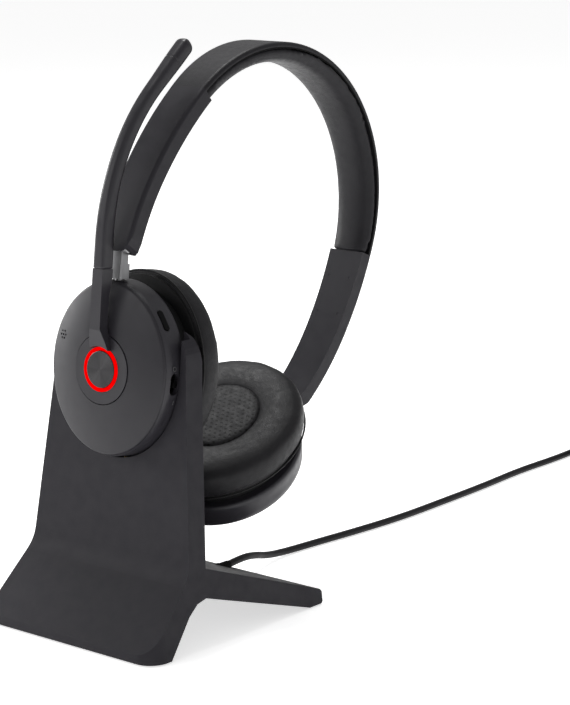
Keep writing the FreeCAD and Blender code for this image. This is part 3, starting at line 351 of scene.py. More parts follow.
@dataclass(frozen=True)
class Moulded(Finish):
    """Moulded plastic or rubber with a spark-eroded grain and a slight mottle."""

    grain_mm: float = 0.35
    depth_mm: float = 0.012
    mottle: float = 0.05
    gloss_spread: float = 0.07
    specular: float = 0.16
    coat: float = 0.0

    def paint(self) -> bpy.types.Material:
        """Build the material.

        Returns:
            The material.
        """
        shade = Shade(self.name, self.colour, self.roughness, Specular_IOR_Level=self.specular,
                      Coat_Weight=self.coat, Coat_Roughness=0.25)
        broad = shade.speckle(14.0, 3.0)
        shade.feed("Base Color", shade.mix(shade.ramp(broad, 0.0, 1.0), scaled(self.colour, 1 - self.mottle),
                                           scaled(self.colour, 1 + self.mottle)))
        fine = shade.speckle(self.grain_mm, 2.0)
        worn = shade.speckle(5.0, 4.0)
        shade.feed("Roughness", shade.ramp(worn, self.roughness - self.gloss_spread,
                                           self.roughness + self.gloss_spread))
        shade.emboss(fine, self.depth_mm, 0.6)
        return shade.material


@dataclass(frozen=True)
class Leatherette(Finish):
    """Soft coated fabric with small irregular cells and fine creases."""

    cell_mm: float = 0.7
    depth_mm: float = 0.03
    sheen: float = 0.03

    def grain(self, shade: Shade) -> None:
        """Give a shade the cells, creases and uneven gloss.

        Args:
            shade: the material being made.
        """
        bend = shade.speckle(2.2, 2.0)
        cells = shade.add("ShaderNodeTexVoronoi", Vector=shade.place(), Scale=1000.0 / self.cell_mm)
        cells.feature = "DISTANCE_TO_EDGE"
        edge = shade.ramp(cells.outputs["Distance"], 0.0, 1.0, 0.0, 0.16)
        shade.emboss(edge, self.depth_mm, 0.55)
        shade.emboss(shade.speckle(6.0, 3.0), self.depth_mm * 2.2, 0.35)
        shade.feed("Roughness", shade.ramp(bend, self.roughness - 0.06, self.roughness + 0.08))

    def paint(self) -> bpy.types.Material:
        """Build the material.

        Returns:
            The material.
        """
        shade = Shade(self.name, self.colour, self.roughness, Specular_IOR_Level=0.2,
                      Sheen_Weight=self.sheen, Sheen_Roughness=0.4)
        self.grain(shade)
        broad = shade.speckle(9.0, 3.0)
        shade.feed("Base Color", shade.mix(shade.ramp(broad, 0.0, 1.0), scaled(self.colour, 0.9),
                                           scaled(self.colour, 1.1)))
        return shade.material


@dataclass(frozen=True)
class Perforated(Leatherette):
    """Leatherette punched with round holes on a triangular lattice, in a cup's own plane; the holes are
    painted near-black as painted shade in the openings.
    """

    home: Matrix | None = None
    pitch_mm: float = 2.3
    hole_mm: float = 1.05

    def lattice(self, shade: Shade, shift: float) -> bpy.types.NodeSocket:
        """Distance from the nearest point of one rectangular lattice, in millimetres.

        Args:
            shade: the material being made.
            shift: offset of the lattice, in cells.

        Returns:
            The distance.
        """
        tall = self.pitch_mm * math.sqrt(3.0)
        cell = (self.pitch_mm, 1.0, tall)
        spot = shade.add("ShaderNodeVectorMath", Vector=shade.place(self.home))
        spot.operation = "MULTIPLY"
        spot.inputs[1].default_value = (1000.0 / cell[0], 0.0, 1000.0 / cell[2])
        moved = shade.add("ShaderNodeVectorMath", Vector=spot.outputs[0])
        moved.operation = "ADD"
        moved.inputs[1].default_value = (shift, 0.0, shift)
        part = shade.add("ShaderNodeVectorMath", Vector=moved.outputs[0])
        part.operation = "FRACTION"
        centred = shade.add("ShaderNodeVectorMath", Vector=part.outputs[0])
        centred.operation = "SUBTRACT"
        centred.inputs[1].default_value = (0.5, 0.0, 0.5)
        sized = shade.add("ShaderNodeVectorMath", Vector=centred.outputs[0])
        sized.operation = "MULTIPLY"
        sized.inputs[1].default_value = cell
        reach = shade.add("ShaderNodeVectorMath", Vector=sized.outputs[0])
        reach.operation = "LENGTH"
        return reach.outputs["Value"]

    def paint(self) -> bpy.types.Material:
        """Build the material.

        Returns:
            The material.
        """
        shade = Shade(self.name, self.colour, self.roughness, Specular_IOR_Level=0.2,
                      Sheen_Weight=self.sheen, Sheen_Roughness=0.4)
        self.grain(shade)
        near = shade.tree.nodes.new("ShaderNodeMath")
        near.operation = "MINIMUM"
        shade.tree.links.new(self.lattice(shade, 0.0), near.inputs[0])
        shade.tree.links.new(self.lattice(shade, 0.5), near.inputs[1])
        radius = self.hole_mm / 2.0
        # Painted shade: the mask colours each hole near-black, standing in for the shade inside the opening.
        hole_shade_mask = shade.ramp(near.outputs[0], 0.0, 1.0, radius - 0.1, radius + 0.08)
        lip = shade.ramp(near.outputs[0], 0.0, 1.0, radius - 0.2, radius + 0.12)
        shade.emboss(lip, 0.12, 0.5)
        shade.feed("Base Color", shade.mix(hole_shade_mask, (0.0008, 0.0008, 0.0008), self.colour))
        return shade.material


@dataclass(frozen=True)
class Brushed(Finish):
    """Metal drawn or ground along one axis."""

    along: Axis = Axis.X
    streak_mm: float = 0.12

    def paint(self) -> bpy.types.Material:
        """Build the material.

        Returns:
            The material.
        """
        shade = Shade(self.name, self.colour, self.roughness, Metallic=1.0)
        long = tuple(40.0 if axis is self.along else 1.0 for axis in Axis)
        streaks = shade.speckle(self.streak_mm, 3.0, stretch=long)
        shade.feed("Roughness", shade.ramp(streaks, self.roughness - 0.08, self.roughness + 0.12))
        shade.feed("Base Color", shade.mix(shade.speckle(8.0, 3.0), scaled(self.colour, 0.82),
                                           scaled(self.colour, 1.12)))
        shade.emboss(streaks, 0.01, 0.4)
        return shade.material


@dataclass(frozen=True)
class Spun(Finish):
    """Metal turned about a hub's axis, so that it shines in wedges."""

    home: Matrix | None = None
    ring_mm: float = 0.22

    def paint(self) -> bpy.types.Material:
        """Build the material.

        Returns:
            The material.
        """
        shade = Shade(self.name, self.colour, self.roughness, Metallic=1.0, Anisotropic=0.97)
        way = shade.add("ShaderNodeTangent")
        way.direction_type = "RADIAL"
        way.axis = "Y"
        shade.feed("Tangent", way.outputs["Tangent"])
        rings = shade.add("ShaderNodeTexWave", Vector=shade.place(self.home),
                          Scale=1000.0 * math.pi / (10.0 * self.ring_mm), Distortion=0.4, Detail=1.0)
        rings.wave_type = "RINGS"
        rings.rings_direction = "Y"
        shade.emboss(rings.outputs["Fac"], 0.004, 0.25)
        shade.feed("Base Color", shade.mix(rings.outputs["Fac"], scaled(self.colour, 0.75),
                                           scaled(self.colour, 1.2)))
        return shade.material


@dataclass(frozen=True)
class LightPipe(Finish):
    """Clear red ring, lit from behind."""

    strength: float = 1.0

    def paint(self) -> bpy.types.Material:
        """Build the material.

        Returns:
            The material.
        """
        shade = Shade(self.name, self.colour, self.roughness, Emission_Strength=self.strength,
                      Specular_IOR_Level=0.0)
        even = shade.speckle(3.0, 2.0)
        glow = shade.mix(shade.ramp(even, 0.0, 1.0), (0.80, 0.0, 0.0), (0.92, 0.0, 0.0))
        shade.feed("Emission Color", glow)
        return shade.material


@dataclass(frozen=True)
class Board(Finish):
    """Circuit board: solder mask over faint tracks, with small pads."""

    def paint(self) -> bpy.types.Material:
        """Build the material.

        Returns:
            The material.
        """
        shade = Shade(self.name, self.colour, self.roughness, Coat_Weight=0.2)
        tracks = shade.add("ShaderNodeTexBrick", Vector=shade.place(), Scale=260.0)
        tracks.inputs["Color1"].default_value = (*self.colour, 1.0)
        tracks.inputs["Color2"].default_value = (*scaled(self.colour, 1.3), 1.0)
        tracks.inputs["Mortar"].default_value = (*scaled(self.colour, 2.2), 1.0)
        shade.feed("Base Color", tracks.outputs["Color"])
        shade.emboss(tracks.outputs["Fac"], 0.02, 0.4)
        return shade.material


class Palette:
    """The finishes of this headset and its stand."""

    def __init__(self, docked: Matrix, free: Matrix) -> None:
        """Mix the finishes.

        Args:
            docked: frame of the docked cup.
            free: frame of the free cup.
        """
        self.stand = Moulded("stand_plastic", (0.0175, 0.0162, 0.0206), 0.56, 0.4, 0.014, specular=0.2)
        self.cup = Moulded("cup_plastic", (0.0180, 0.0168, 0.0210), 0.38, 0.3, 0.007, specular=0.34)
        # Painted light: the rim is the cup's plastic made lighter, to lift the shade that falls on the rim.
        self.rim = Moulded("rim_lit_plastic", (0.0260, 0.0245, 0.0298), 0.40, 0.3, 0.006, specular=0.4)
        self.arm = Moulded("arm_plastic", (0.0165, 0.0153, 0.0194), 0.46, 0.3, 0.009, specular=0.24)
        self.boom = Moulded("boom_plastic", (0.0200, 0.0188, 0.0230), 0.38, 0.28, 0.006, specular=0.34)
        # Painted light: the boom's hub is the cup's plastic made lighter, to lift the shade on its root.
        self.hub = Moulded("hub_lit_plastic", (0.0230, 0.0216, 0.0262), 0.40, 0.28, 0.006, specular=0.36)
        self.key = Moulded("key_plastic", (0.002, 0.002, 0.0022), 0.4, 0.25, 0.004, specular=0.08)
        self.inner = Moulded("inner_plastic", (0.0065, 0.0065, 0.007), 0.6, 0.4, 0.01, specular=0.2)
        self.rubber = Moulded("soft_rubber", (0.008, 0.008, 0.0085), 0.75, 0.3, 0.015, specular=0.2)
        self.cord = Moulded("cord_jacket", (0.0115, 0.011, 0.0125), 0.5, 0.25, 0.006)
        self.strap = Moulded("strap_weave", (0.008, 0.008, 0.0085), 0.85, 0.5, 0.12, specular=0.15)
        self.iron = Moulded("raw_iron", (0.06, 0.06, 0.06), 0.62, 0.9, 0.08, specular=0.5)
        self.skin = Leatherette("crown_leather", (0.0140, 0.0133, 0.0158), 0.46)
        self.pad = Leatherette("pad_leather", (0.0135, 0.0130, 0.0146), 0.46, 0.8, 0.035)
        self.piping = Leatherette("piping", (0.0055, 0.0055, 0.006), 0.5, 0.5, 0.02)
        self.docked_disc = Perforated("docked_disc", (0.0135, 0.0130, 0.0146), 0.5, home=docked)
        self.free_disc = Perforated("free_disc", (0.0135, 0.0130, 0.0146), 0.5, home=free)
        self.steel = Brushed("plain_steel", (0.56, 0.56, 0.57), 0.32)
        self.spring = Brushed("spring_steel", (0.45, 0.45, 0.47), 0.3, Axis.Y)
        self.stem = Brushed("stem_metal", (0.22, 0.22, 0.225), 0.42, Axis.Z)
        self.gold = Brushed("contact_gold", (0.83, 0.6, 0.28), 0.2, Axis.Z, 0.08)
        self.foil = Brushed("cell_foil", (0.7, 0.7, 0.72), 0.28, Axis.Y, 0.8)
        self.button = Spun("spun_button", (0.055, 0.054, 0.056), 0.26, home=docked)
        self.light = LightPipe("status_light", (0.10, 0.0, 0.0), 0.3)
        self.board = Board("board", (0.02, 0.10, 0.045), 0.4)
        self.print = Moulded("pad_print", (0.09, 0.09, 0.094), 0.6, 0.3, 0.003)
        # Near-black finish, painted shade: dark tubes in the crown's grooves and the microphone's slot stand
        # for the shade there; the charge block wears it too.
        self.shadow = Moulded("gap_shade_black", (0.003, 0.003, 0.003), 0.8, 0.4, 0.004, specular=0.15)


# ---------------------------------------------------------------- meshes
def new_piece(name: str, mesh: bpy.types.Mesh, finish: Finish, body: str) -> bpy.types.Object:
    """Put a mesh in the scene as one piece of the object.

    Args:
        name: the piece's name.
        mesh: its mesh, in the frame's own place.
        finish: its finish.
        body: the body that it rides on.

    Returns:
        The new object.
    """
    obj = bpy.data.objects.new(name, mesh)
    bpy.context.scene.collection.objects.link(obj)
    dress(obj, finish)
    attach(obj, body)
    LOG.info("%s: %d faces on %s", name, len(mesh.polygons), body)
    return obj


def dress(obj: bpy.types.Object, finish: Finish) -> None:
    """Give every material slot of an object one finish.

    Args:
        obj: the object.
        finish: its finish.
    """
    material = finish.make()
    if not obj.material_slots:
        obj.data.materials.append(material)
    for place in obj.material_slots:
        place.material = material


def dress_nodes(finish: Finish, names: Iterable[str]) -> None:
    """Give the frame's own nodes one finish."""
    for name in names:
        dress(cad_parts[name], finish)
        LOG.info("%s: %s", name, finish.name)


def smooth_mesh(name: str, points: Sequence[Vector], faces: Sequence[Sequence[int]]) -> bpy.types.Mesh:
    """Smooth-shaded mesh with its faces all turned outwards.

    Args:
        name: the mesh's name.
        points: its corners, in metres.
        faces: its faces, as indices of corners.

    Returns:
        The mesh.
    """
    mesh = bpy.data.meshes.new(name)
    mesh.from_pydata([tuple(p) for p in points], [], [tuple(f) for f in faces])
    work = bmesh.new()
    work.from_mesh(mesh)
    bmesh.ops.recalc_face_normals(work, faces=work.faces)
    work.to_mesh(mesh)
    work.free()
    mesh.polygons.foreach_set("use_smooth", [True] * len(mesh.polygons))
    return mesh


def grid_faces(rows: int, columns: int, close_rows: bool, close_columns: bool) -> list[tuple[int, ...]]:
    """Quads over a grid of points, wrapped either way if asked.

    Args:
        rows: number of rows of points.
        columns: number of points in a row.
        close_rows: whether the last row joins the first.
        close_columns: whether each row is a loop.

    Returns:
        The faces, as indices of points.
    """
    faces = []
    for i in range(rows if close_rows else rows - 1):
        for j in range(columns if close_columns else columns - 1):
            a, b = (i + 1) % rows, (j + 1) % columns
            faces.append((i * columns + j, i * columns + b, a * columns + b, a * columns + j))
    return faces


def capped_faces(rows: int, columns: int) -> list[tuple[int, ...]]:
    """Quads along a tube of rings, with a face over each end.

    Args:
        rows: number of rings.
        columns: number of points in a ring.

    Returns:
        The faces, as indices of points.
    """
    faces = grid_faces(rows, columns, False, True)
    faces.append(tuple(range(columns)))
    faces.append(tuple(range((rows - 1) * columns, rows * columns)))
    return faces


def squared(angle: float, power: float) -> tuple[float, float]:
    """Point of a circle of radius 1, pushed out towards a square.

    Args:
        angle: angle round it, in radians.
        power: 2 for a circle, and more for a squarer one.

    Returns:
        The point's two coordinates.
    """
    c, s = math.cos(angle), math.sin(angle)
    bulge = (abs(c) ** power + abs(s) ** power) ** (-1.0 / power)
    return c * bulge, s * bulge


def swept_tube(name: str, line: Sequence[Vector], radius: float, closed: bool, sides: int = 10,
               flat: float = 1.0) -> bpy.types.Mesh:
    """Round or flattened tube along a line.

    Args:
        name: the mesh's name.
        line: points of its middle.
        radius: its radius.
        closed: whether the line comes back to its start.
        sides: points round it.
        flat: its height as a share of its width.

    Returns:
        The mesh.
    """
    count = len(line)
    points = []
    for i, middle in enumerate(line):
        after = line[(i + 1) % count] if closed or i < count - 1 else middle
        before = line[i - 1] if closed or i > 0 else middle
        along = (after - before).normalized()
        side = along.cross(Vector((0.0, 0.0, 1.0)))
        if side.length < 0.2:
            side = along.cross(Vector((1.0, 0.0, 0.0)))
        side.normalize()
        up = side.cross(along)
        for k in range(sides):
            a = 2 * math.pi * k / sides
            points.append(middle + side * (radius * math.cos(a)) + up * (radius * flat * math.sin(a)))
    faces = grid_faces(count, sides, True, True) if closed else capped_faces(count, sides)
    return smooth_mesh(name, points, faces)


def oval(half_x: float, half_z: float, degrees: float) -> tuple[float, float]:
    """Point of an oval with those half sizes."""
    a = math.radians(degrees)
    return half_x * math.cos(a), half_z * math.sin(a)


@dataclass
class Stuffing:
    """How a soft piece is blown up from its cut shape by a cloth simulation."""

    voxel: float = 1.5 * MM
    pressure: float = 4.0
    cap: float = 1.1 * MM
    frames: int = 20

    def remeshed(self, mesh: bpy.types.Mesh) -> bpy.types.Object:
        """An object with an even mesh of that shape.

        Args:
            mesh: the shape.

        Returns:
            The new object.
        """
        obj = bpy.data.objects.new("stuffing", mesh)
        bpy.context.scene.collection.objects.link(obj)
        remesh = obj.modifiers.new("even", "REMESH")
        remesh.mode = "VOXEL"
        remesh.voxel_size = self.voxel
        self.settle(obj)
        return obj

    @staticmethod
    def settle(obj: bpy.types.Object) -> None:
        """Apply an object's modifiers to its mesh.

        Args:
            obj: the object.
        """
        graph = bpy.context.evaluated_depsgraph_get()
        mesh = bpy.data.meshes.new_from_object(obj.evaluated_get(graph))
        obj.modifiers.clear()
        obj.data = mesh

    def inflate(self, mesh: bpy.types.Mesh, held: Callable[[Vector], float]) -> bpy.types.Mesh:
        """Blow a shape up, no point moving further than the cap.

        Args:
            mesh: the cut shape, in its own frame.
            held: how firmly a point is sewn down, from 0 to 1.

        Returns:
            The puffed mesh.
        """
        obj = self.remeshed(mesh)
        start = [v.co.copy() for v in obj.data.vertices]
        weights = [held(p) for p in start]
        self.simulate(obj, weights)
        for vertex, was, weight in zip(obj.data.vertices, start, weights):
            moved = vertex.co - was
            if moved.length > self.cap:
                moved *= self.cap / moved.length
            vertex.co = was + moved * (1.0 - weight)
        puffed = obj.data
        bpy.data.objects.remove(obj)
        puffed.polygons.foreach_set("use_smooth", [True] * len(puffed.polygons))
        return puffed

    def simulate(self, obj: bpy.types.Object, weights: Sequence[float]) -> None:
        """Run the cloth and keep its last frame as the mesh.

        Args:
            obj: the object with the even mesh.
            weights: how firmly each point is sewn down, from 0 to 1.
        """
        group = obj.vertex_groups.new(name="sewn")
        for i, weight in enumerate(weights):
            if weight > 0.0:
                group.add([i], weight, "REPLACE")
        cloth = obj.modifiers.new("cloth", "CLOTH")
        cloth.settings.use_pressure = True
        cloth.settings.uniform_pressure_force = self.pressure
        cloth.settings.vertex_group_mass = "sewn"
        cloth.settings.effector_weights.gravity = 0.0
        cloth.settings.quality = 5
        cloth.point_cache.frame_end = self.frames
        for step in range(1, self.frames + 1):
            bpy.context.scene.frame_set(step)
        self.settle(obj)
        bpy.context.scene.frame_set(1)


# ---------------------------------------------------------------- studio
@dataclass
class Studio:
    """Camera, floor and soft light."""

    camera_at: Point = (0.5773, -0.57854, 0.28216)
    azimuth: float = 39.2323
    elevation: float = 11.8819
    lens: float = 117.45
    sky_strength: float = 0.38
    lamps: Sequence[tuple[str, Point, float, float]] = (
        ("key", (-0.75, -1.45, 0.9), 1.0, 5.0),
        ("left", (-1.5, -0.3, 0.45), 0.7, 12.0),
        ("top", (-0.35, 0.35, 1.4), 0.6, 13.0),
        ("fill", (1.3, -0.5, 0.5), 1.0, 0.8),
    )

    def build(self, front: Vector) -> None:
        """Set up the camera, the floor, the sky and the lamps.

        Args:
            front: offset of the stand's front edge.
        """
        self.set_camera(front)
        self.lay_floor()
        self.light()

    def set_camera(self, front: Vector) -> None:
        """Stand the camera where the headset is seen from.

        Args:
            front: offset of the stand's front edge.
        """
        data = bpy.data.cameras.new("camera")
        data.lens = self.lens
        data.sensor_width = 36.0
        data.clip_start = 0.01
        obj = bpy.data.objects.new("camera", data)
        a, e = math.radians(self.azimuth), math.radians(self.elevation)
        back = Vector((math.sin(a) * math.cos(e), -math.cos(a) * math.cos(e), math.sin(e)))
        obj.rotation_mode = "QUATERNION"
        obj.rotation_quaternion = back.to_track_quat("Z", "Y")
        obj.location = Vector(self.camera_at) + front
        bpy.context.scene.collection.objects.link(obj)
        bpy.context.scene.camera = obj

    def lay_floor(self) -> None:
        """Lay a wide pale floor."""
        half = 30.0
        corners = [Vector((x * half, y * half, 0.0)) for x, y in ((-1, -1), (1, -1), (1, 1), (-1, 1))]
        mesh = smooth_mesh("floor", corners, [(0, 1, 2, 3)])
        obj = bpy.data.objects.new("floor", mesh)
        bpy.context.scene.collection.objects.link(obj)
        shade = Shade("floor_paint", (0.88, 0.88, 0.88), 0.85, Specular_IOR_Level=0.1, Emission_Strength=0.62)
        shade.shader.inputs["Emission Color"].default_value = (1.0, 1.0, 1.0, 1.0)
        shade.emboss(shade.speckle(2.0), 0.01, 0.1)
        mesh.materials.append(shade.material)

    def light(self) -> None:
        """Hang the sky and four soft lamps."""
        world = bpy.data.worlds.new("sky")
        world.use_nodes = True
        sky = world.node_tree.nodes["Background"]
        sky.inputs["Color"].default_value = (1.0, 1.0, 1.0, 1.0)
        sky.inputs["Strength"].default_value = self.sky_strength
        bpy.context.scene.world = world
        bpy.context.scene.view_settings.view_transform = "Standard"
        for name, place, size, power in self.lamps:
            self.lamp(name, place, size, power)

    @staticmethod
    def lamp(name: str, place: Point, size: float, power: float) -> None:
        """Hang one square lamp that looks at the headset.

        Args:
            name: the lamp's name.
            place: where it hangs, in metres.
            size: length of its side.
            power: its power, in watts.
        """
        data = bpy.data.lights.new(name, "AREA")
        data.size = size
        data.energy = power
        obj = bpy.data.objects.new(name, data)
        obj.location = place
        obj.rotation_mode = "QUATERNION"
        obj.rotation_quaternion = (Vector(place) - Vector((0.0, 0.0, 0.1))).to_track_quat("Z", "Y")
        bpy.context.scene.collection.objects.link(obj)


# ---------------------------------------------------------------- lead
@dataclass
class Lead:
    """The stand's captive lead: down the leg, back over the table and into a tied coil."""

    radius: float = 1.45
    route: Sequence[Point] = (
        (-0.5, 93.0, 8.9), (-1.6, 103.0, 9.3), (-4.0, 114.0, 7.3), (-7.5, 126.0, 3.6),
        (-9.5, 140.0, 1.6), (-8.0, 158.0, 1.55), (-5.0, 184.0, 1.6), (-3.0, 214.0, 1.55),
        (-3.6, 246.0, 1.6), (-4.6, 280.0, 1.55), (-7.0, 314.0, 1.6), (-6.2, 346.0, 1.55),
    )
    coil_at: tuple[float, float] = (11.5, 374.5)
    coil_radius: float = 16.5
    rows: Sequence[tuple[int, int]] = (
        (1, 0), (0, 0), (-1, 0), (-1, 1), (-1, 2), (0, 2), (0, 1), (1, 1), (1, 2),
    )
    turn_points: int = 16
    tail: Sequence[Point] = ((24.0, 394.2, 5.4), (35.0, 389.0, 2.9), (42.0, 377.0, 2.2))
    length: float = 1.24
    strap_points: int = 40
    strap_power: float = 3.2
    strap_half_width: float = 2.4
    strap_thick: float = 0.8

    def coil(self) -> list[Point]:
        """Control points of the coil's turns, clockwise from its left side.

        Returns:
            The control points, in millimetres.
        """
        points = []
        step = 2.0 * self.radius
        reach = 1.0 / math.cos(math.pi / self.turn_points) ** 0.5
        total = len(self.rows) * self.turn_points + self.turn_points // 4
        for i in range(total + 1):
            turns = i / self.turn_points
            row = min(int(turns), len(self.rows) - 1)
            after = min(row + 1, len(self.rows) - 1)
            share = min(1.0, max(0.0, (turns - row) * 4.0 - 3.0)) if turns < len(self.rows) else 0.0
            out = self.rows[row][0] + (self.rows[after][0] - self.rows[row][0]) * share
            up = self.rows[row][1] + (self.rows[after][1] - self.rows[row][1]) * share
            r = (self.coil_radius + out * step) * reach
            a = math.pi - 2.0 * math.pi * turns
            points.append((self.coil_at[0] + r * math.cos(a), self.coil_at[1] + r * math.sin(a),
                           self.radius + 0.1 + up * step))
        return points

    def build(self, front: Vector, palette: Palette) -> None:
        """Lay the lead, tie its coil and dress what is on it.

        Args:
            front: offset of the stand's front edge.
            palette: the finishes.
        """
        points = [Vector(p) * MM + front for p in (*self.route, *self.coil(), *self.tail)]
        data = bpy.data.curves.new("usb_lead", "CURVE")
        data.dimensions = "3D"
        data.bevel_depth = self.radius * MM
        data.bevel_resolution = 6
        data.use_fill_caps = True
        data.resolution_u = 6
        line = data.splines.new("NURBS")
        line.points.add(len(points) - 1)
        for point, at in zip(line.points, points):
            point.co = (*at, 1.0)
        line.order_u = 3
        line.use_endpoint_u = True
        lead = bpy.data.objects.new("usb_lead", data)
        bpy.context.scene.collection.objects.link(lead)
        dress(lead, palette.cord)
        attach(lead, "stand")
        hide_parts("cord_lead", "cord_coil", "cord_tail")
        strap = self.tie(front, palette)
        relief = self.sleeve(front, palette)
        dress_nodes(palette.rubber, ["plug_grip"])
        dress_nodes(palette.steel, ["plug_shell"])
        tuple(points[0])

    def tie(self, front: Vector, palette: Palette) -> bpy.types.Object:
        """Strap round the coil's bundle, on the side away from the plug.

        Args:
            front: offset of the stand's front edge.
            palette: the finishes.

        Returns:
            The strap.
        """
        half = 3.0 * self.radius + 0.5
        thick, count = self.strap_thick, self.strap_points
        middle = Vector((self.coil_at[0] + self.coil_radius, self.coil_at[1], half + 0.05)) * MM + front
        points = []
        for turn_part in range(count):
            x, z = squared(2.0 * math.pi * turn_part / count, self.strap_power)
            for grow, y in ((0.0, -1.0), (0.0, 1.0), (thick, 1.0), (thick, -1.0)):
                reach = half * (1.0 - 0.5 * (thick - grow) / half)
                points.append(middle + Vector((x * reach, y * self.strap_half_width, z * reach)) * MM)
        mesh = smooth_mesh("coil_strap", points, grid_faces(count, 4, True, True))
        strap = new_piece("coil_strap", mesh, palette.strap, "stand")
        rounded(strap, 0.15)
        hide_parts("cord_tie")
        return strap

    def sleeve(self, front: Vector, palette: Palette) -> bpy.types.Object:
        """Tapered strain relief with its grip rings, in line with the lead's first run.

        Args:
            front: offset of the stand's front edge.
            palette: the finishes.

        Returns:
            The strain relief.
        """
        start, after = Vector(self.route[0]), Vector(self.route[1])
        along = (after - start).normalized()
        side = along.cross(Vector((0.0, 0.0, 1.0))).normalized()
        up = side.cross(along)
        profile = [(-8.0, 0.3), (-8.0, 2.3), (-7.8, 2.6), (-6.4, 2.65), (-6.2, 2.2)]
        for k in range(5):
            at = -5.4 + k * 1.05
            big = 2.2 - 0.09 * k
            profile += [(at, big), (at + 0.55, big - 0.02), (at + 0.62, big - 0.32), (at + 0.95, big - 0.32)]
        profile += [(-0.1, 1.75), (0.0, 1.6), (0.0, 1.3)]
        points = []
        sides = 24
        for at, radius in profile:
            for k in range(sides):
                a = 2.0 * math.pi * k / sides
                points.append((start + along * at + side * (radius * math.cos(a))
                               + up * (radius * math.sin(a))) * MM + front)
        mesh = smooth_mesh("strain_relief", points, capped_faces(len(profile), sides))
        sleeve = new_piece("strain_relief", mesh, palette.rubber, "stand")
        sleeve.data.set_sharp_from_angle(angle=math.radians(40))
        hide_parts("cord_relief")
        return sleeve


def rounded(obj: bpy.types.Object, width_mm: float, segments: int = 2) -> None:
    """Round an object's sharp edges.

    Args:
        obj: the object.
        width_mm: width of the rounding.
        segments: faces across the rounding.
    """
    bevel = obj.modifiers.new("round", "BEVEL")
    bevel.width = width_mm * MM
    bevel.segments = segments
    bevel.limit_method = "ANGLE"
    bevel.angle_limit = math.radians(35)
    bevel.harden_normals = True


# ---------------------------------------------------------------- stand
@dataclass
class Stand:
    """Weighted charging stand, all of it the frame's own pieces."""

    shells: Sequence[str] = ("stand_body", "stand_rear_leg", "stand_back_panel", "stand_leg_cover",
                             "stand_weight_cover")
    round_mm: float = 0.6

    def dress(self, palette: Palette) -> None:
        """Give every piece of the stand its finish.

        Args:
            palette: the finishes.
        """
        dress_nodes(palette.stand, self.shells)
        for name in self.shells[:2]:
            rounded(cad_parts[name], self.round_mm)
        dress_nodes(palette.iron, ["stand_weight"])
        dress_nodes(palette.rubber, ["stand_feet"])
        dress_nodes(palette.shadow, ["charge_block"])
        dress_nodes(palette.gold, ["charge_pins"])
        dress_nodes(palette.board, ["charge_board"])
        dress_nodes(palette.steel, ["stand_screws"])


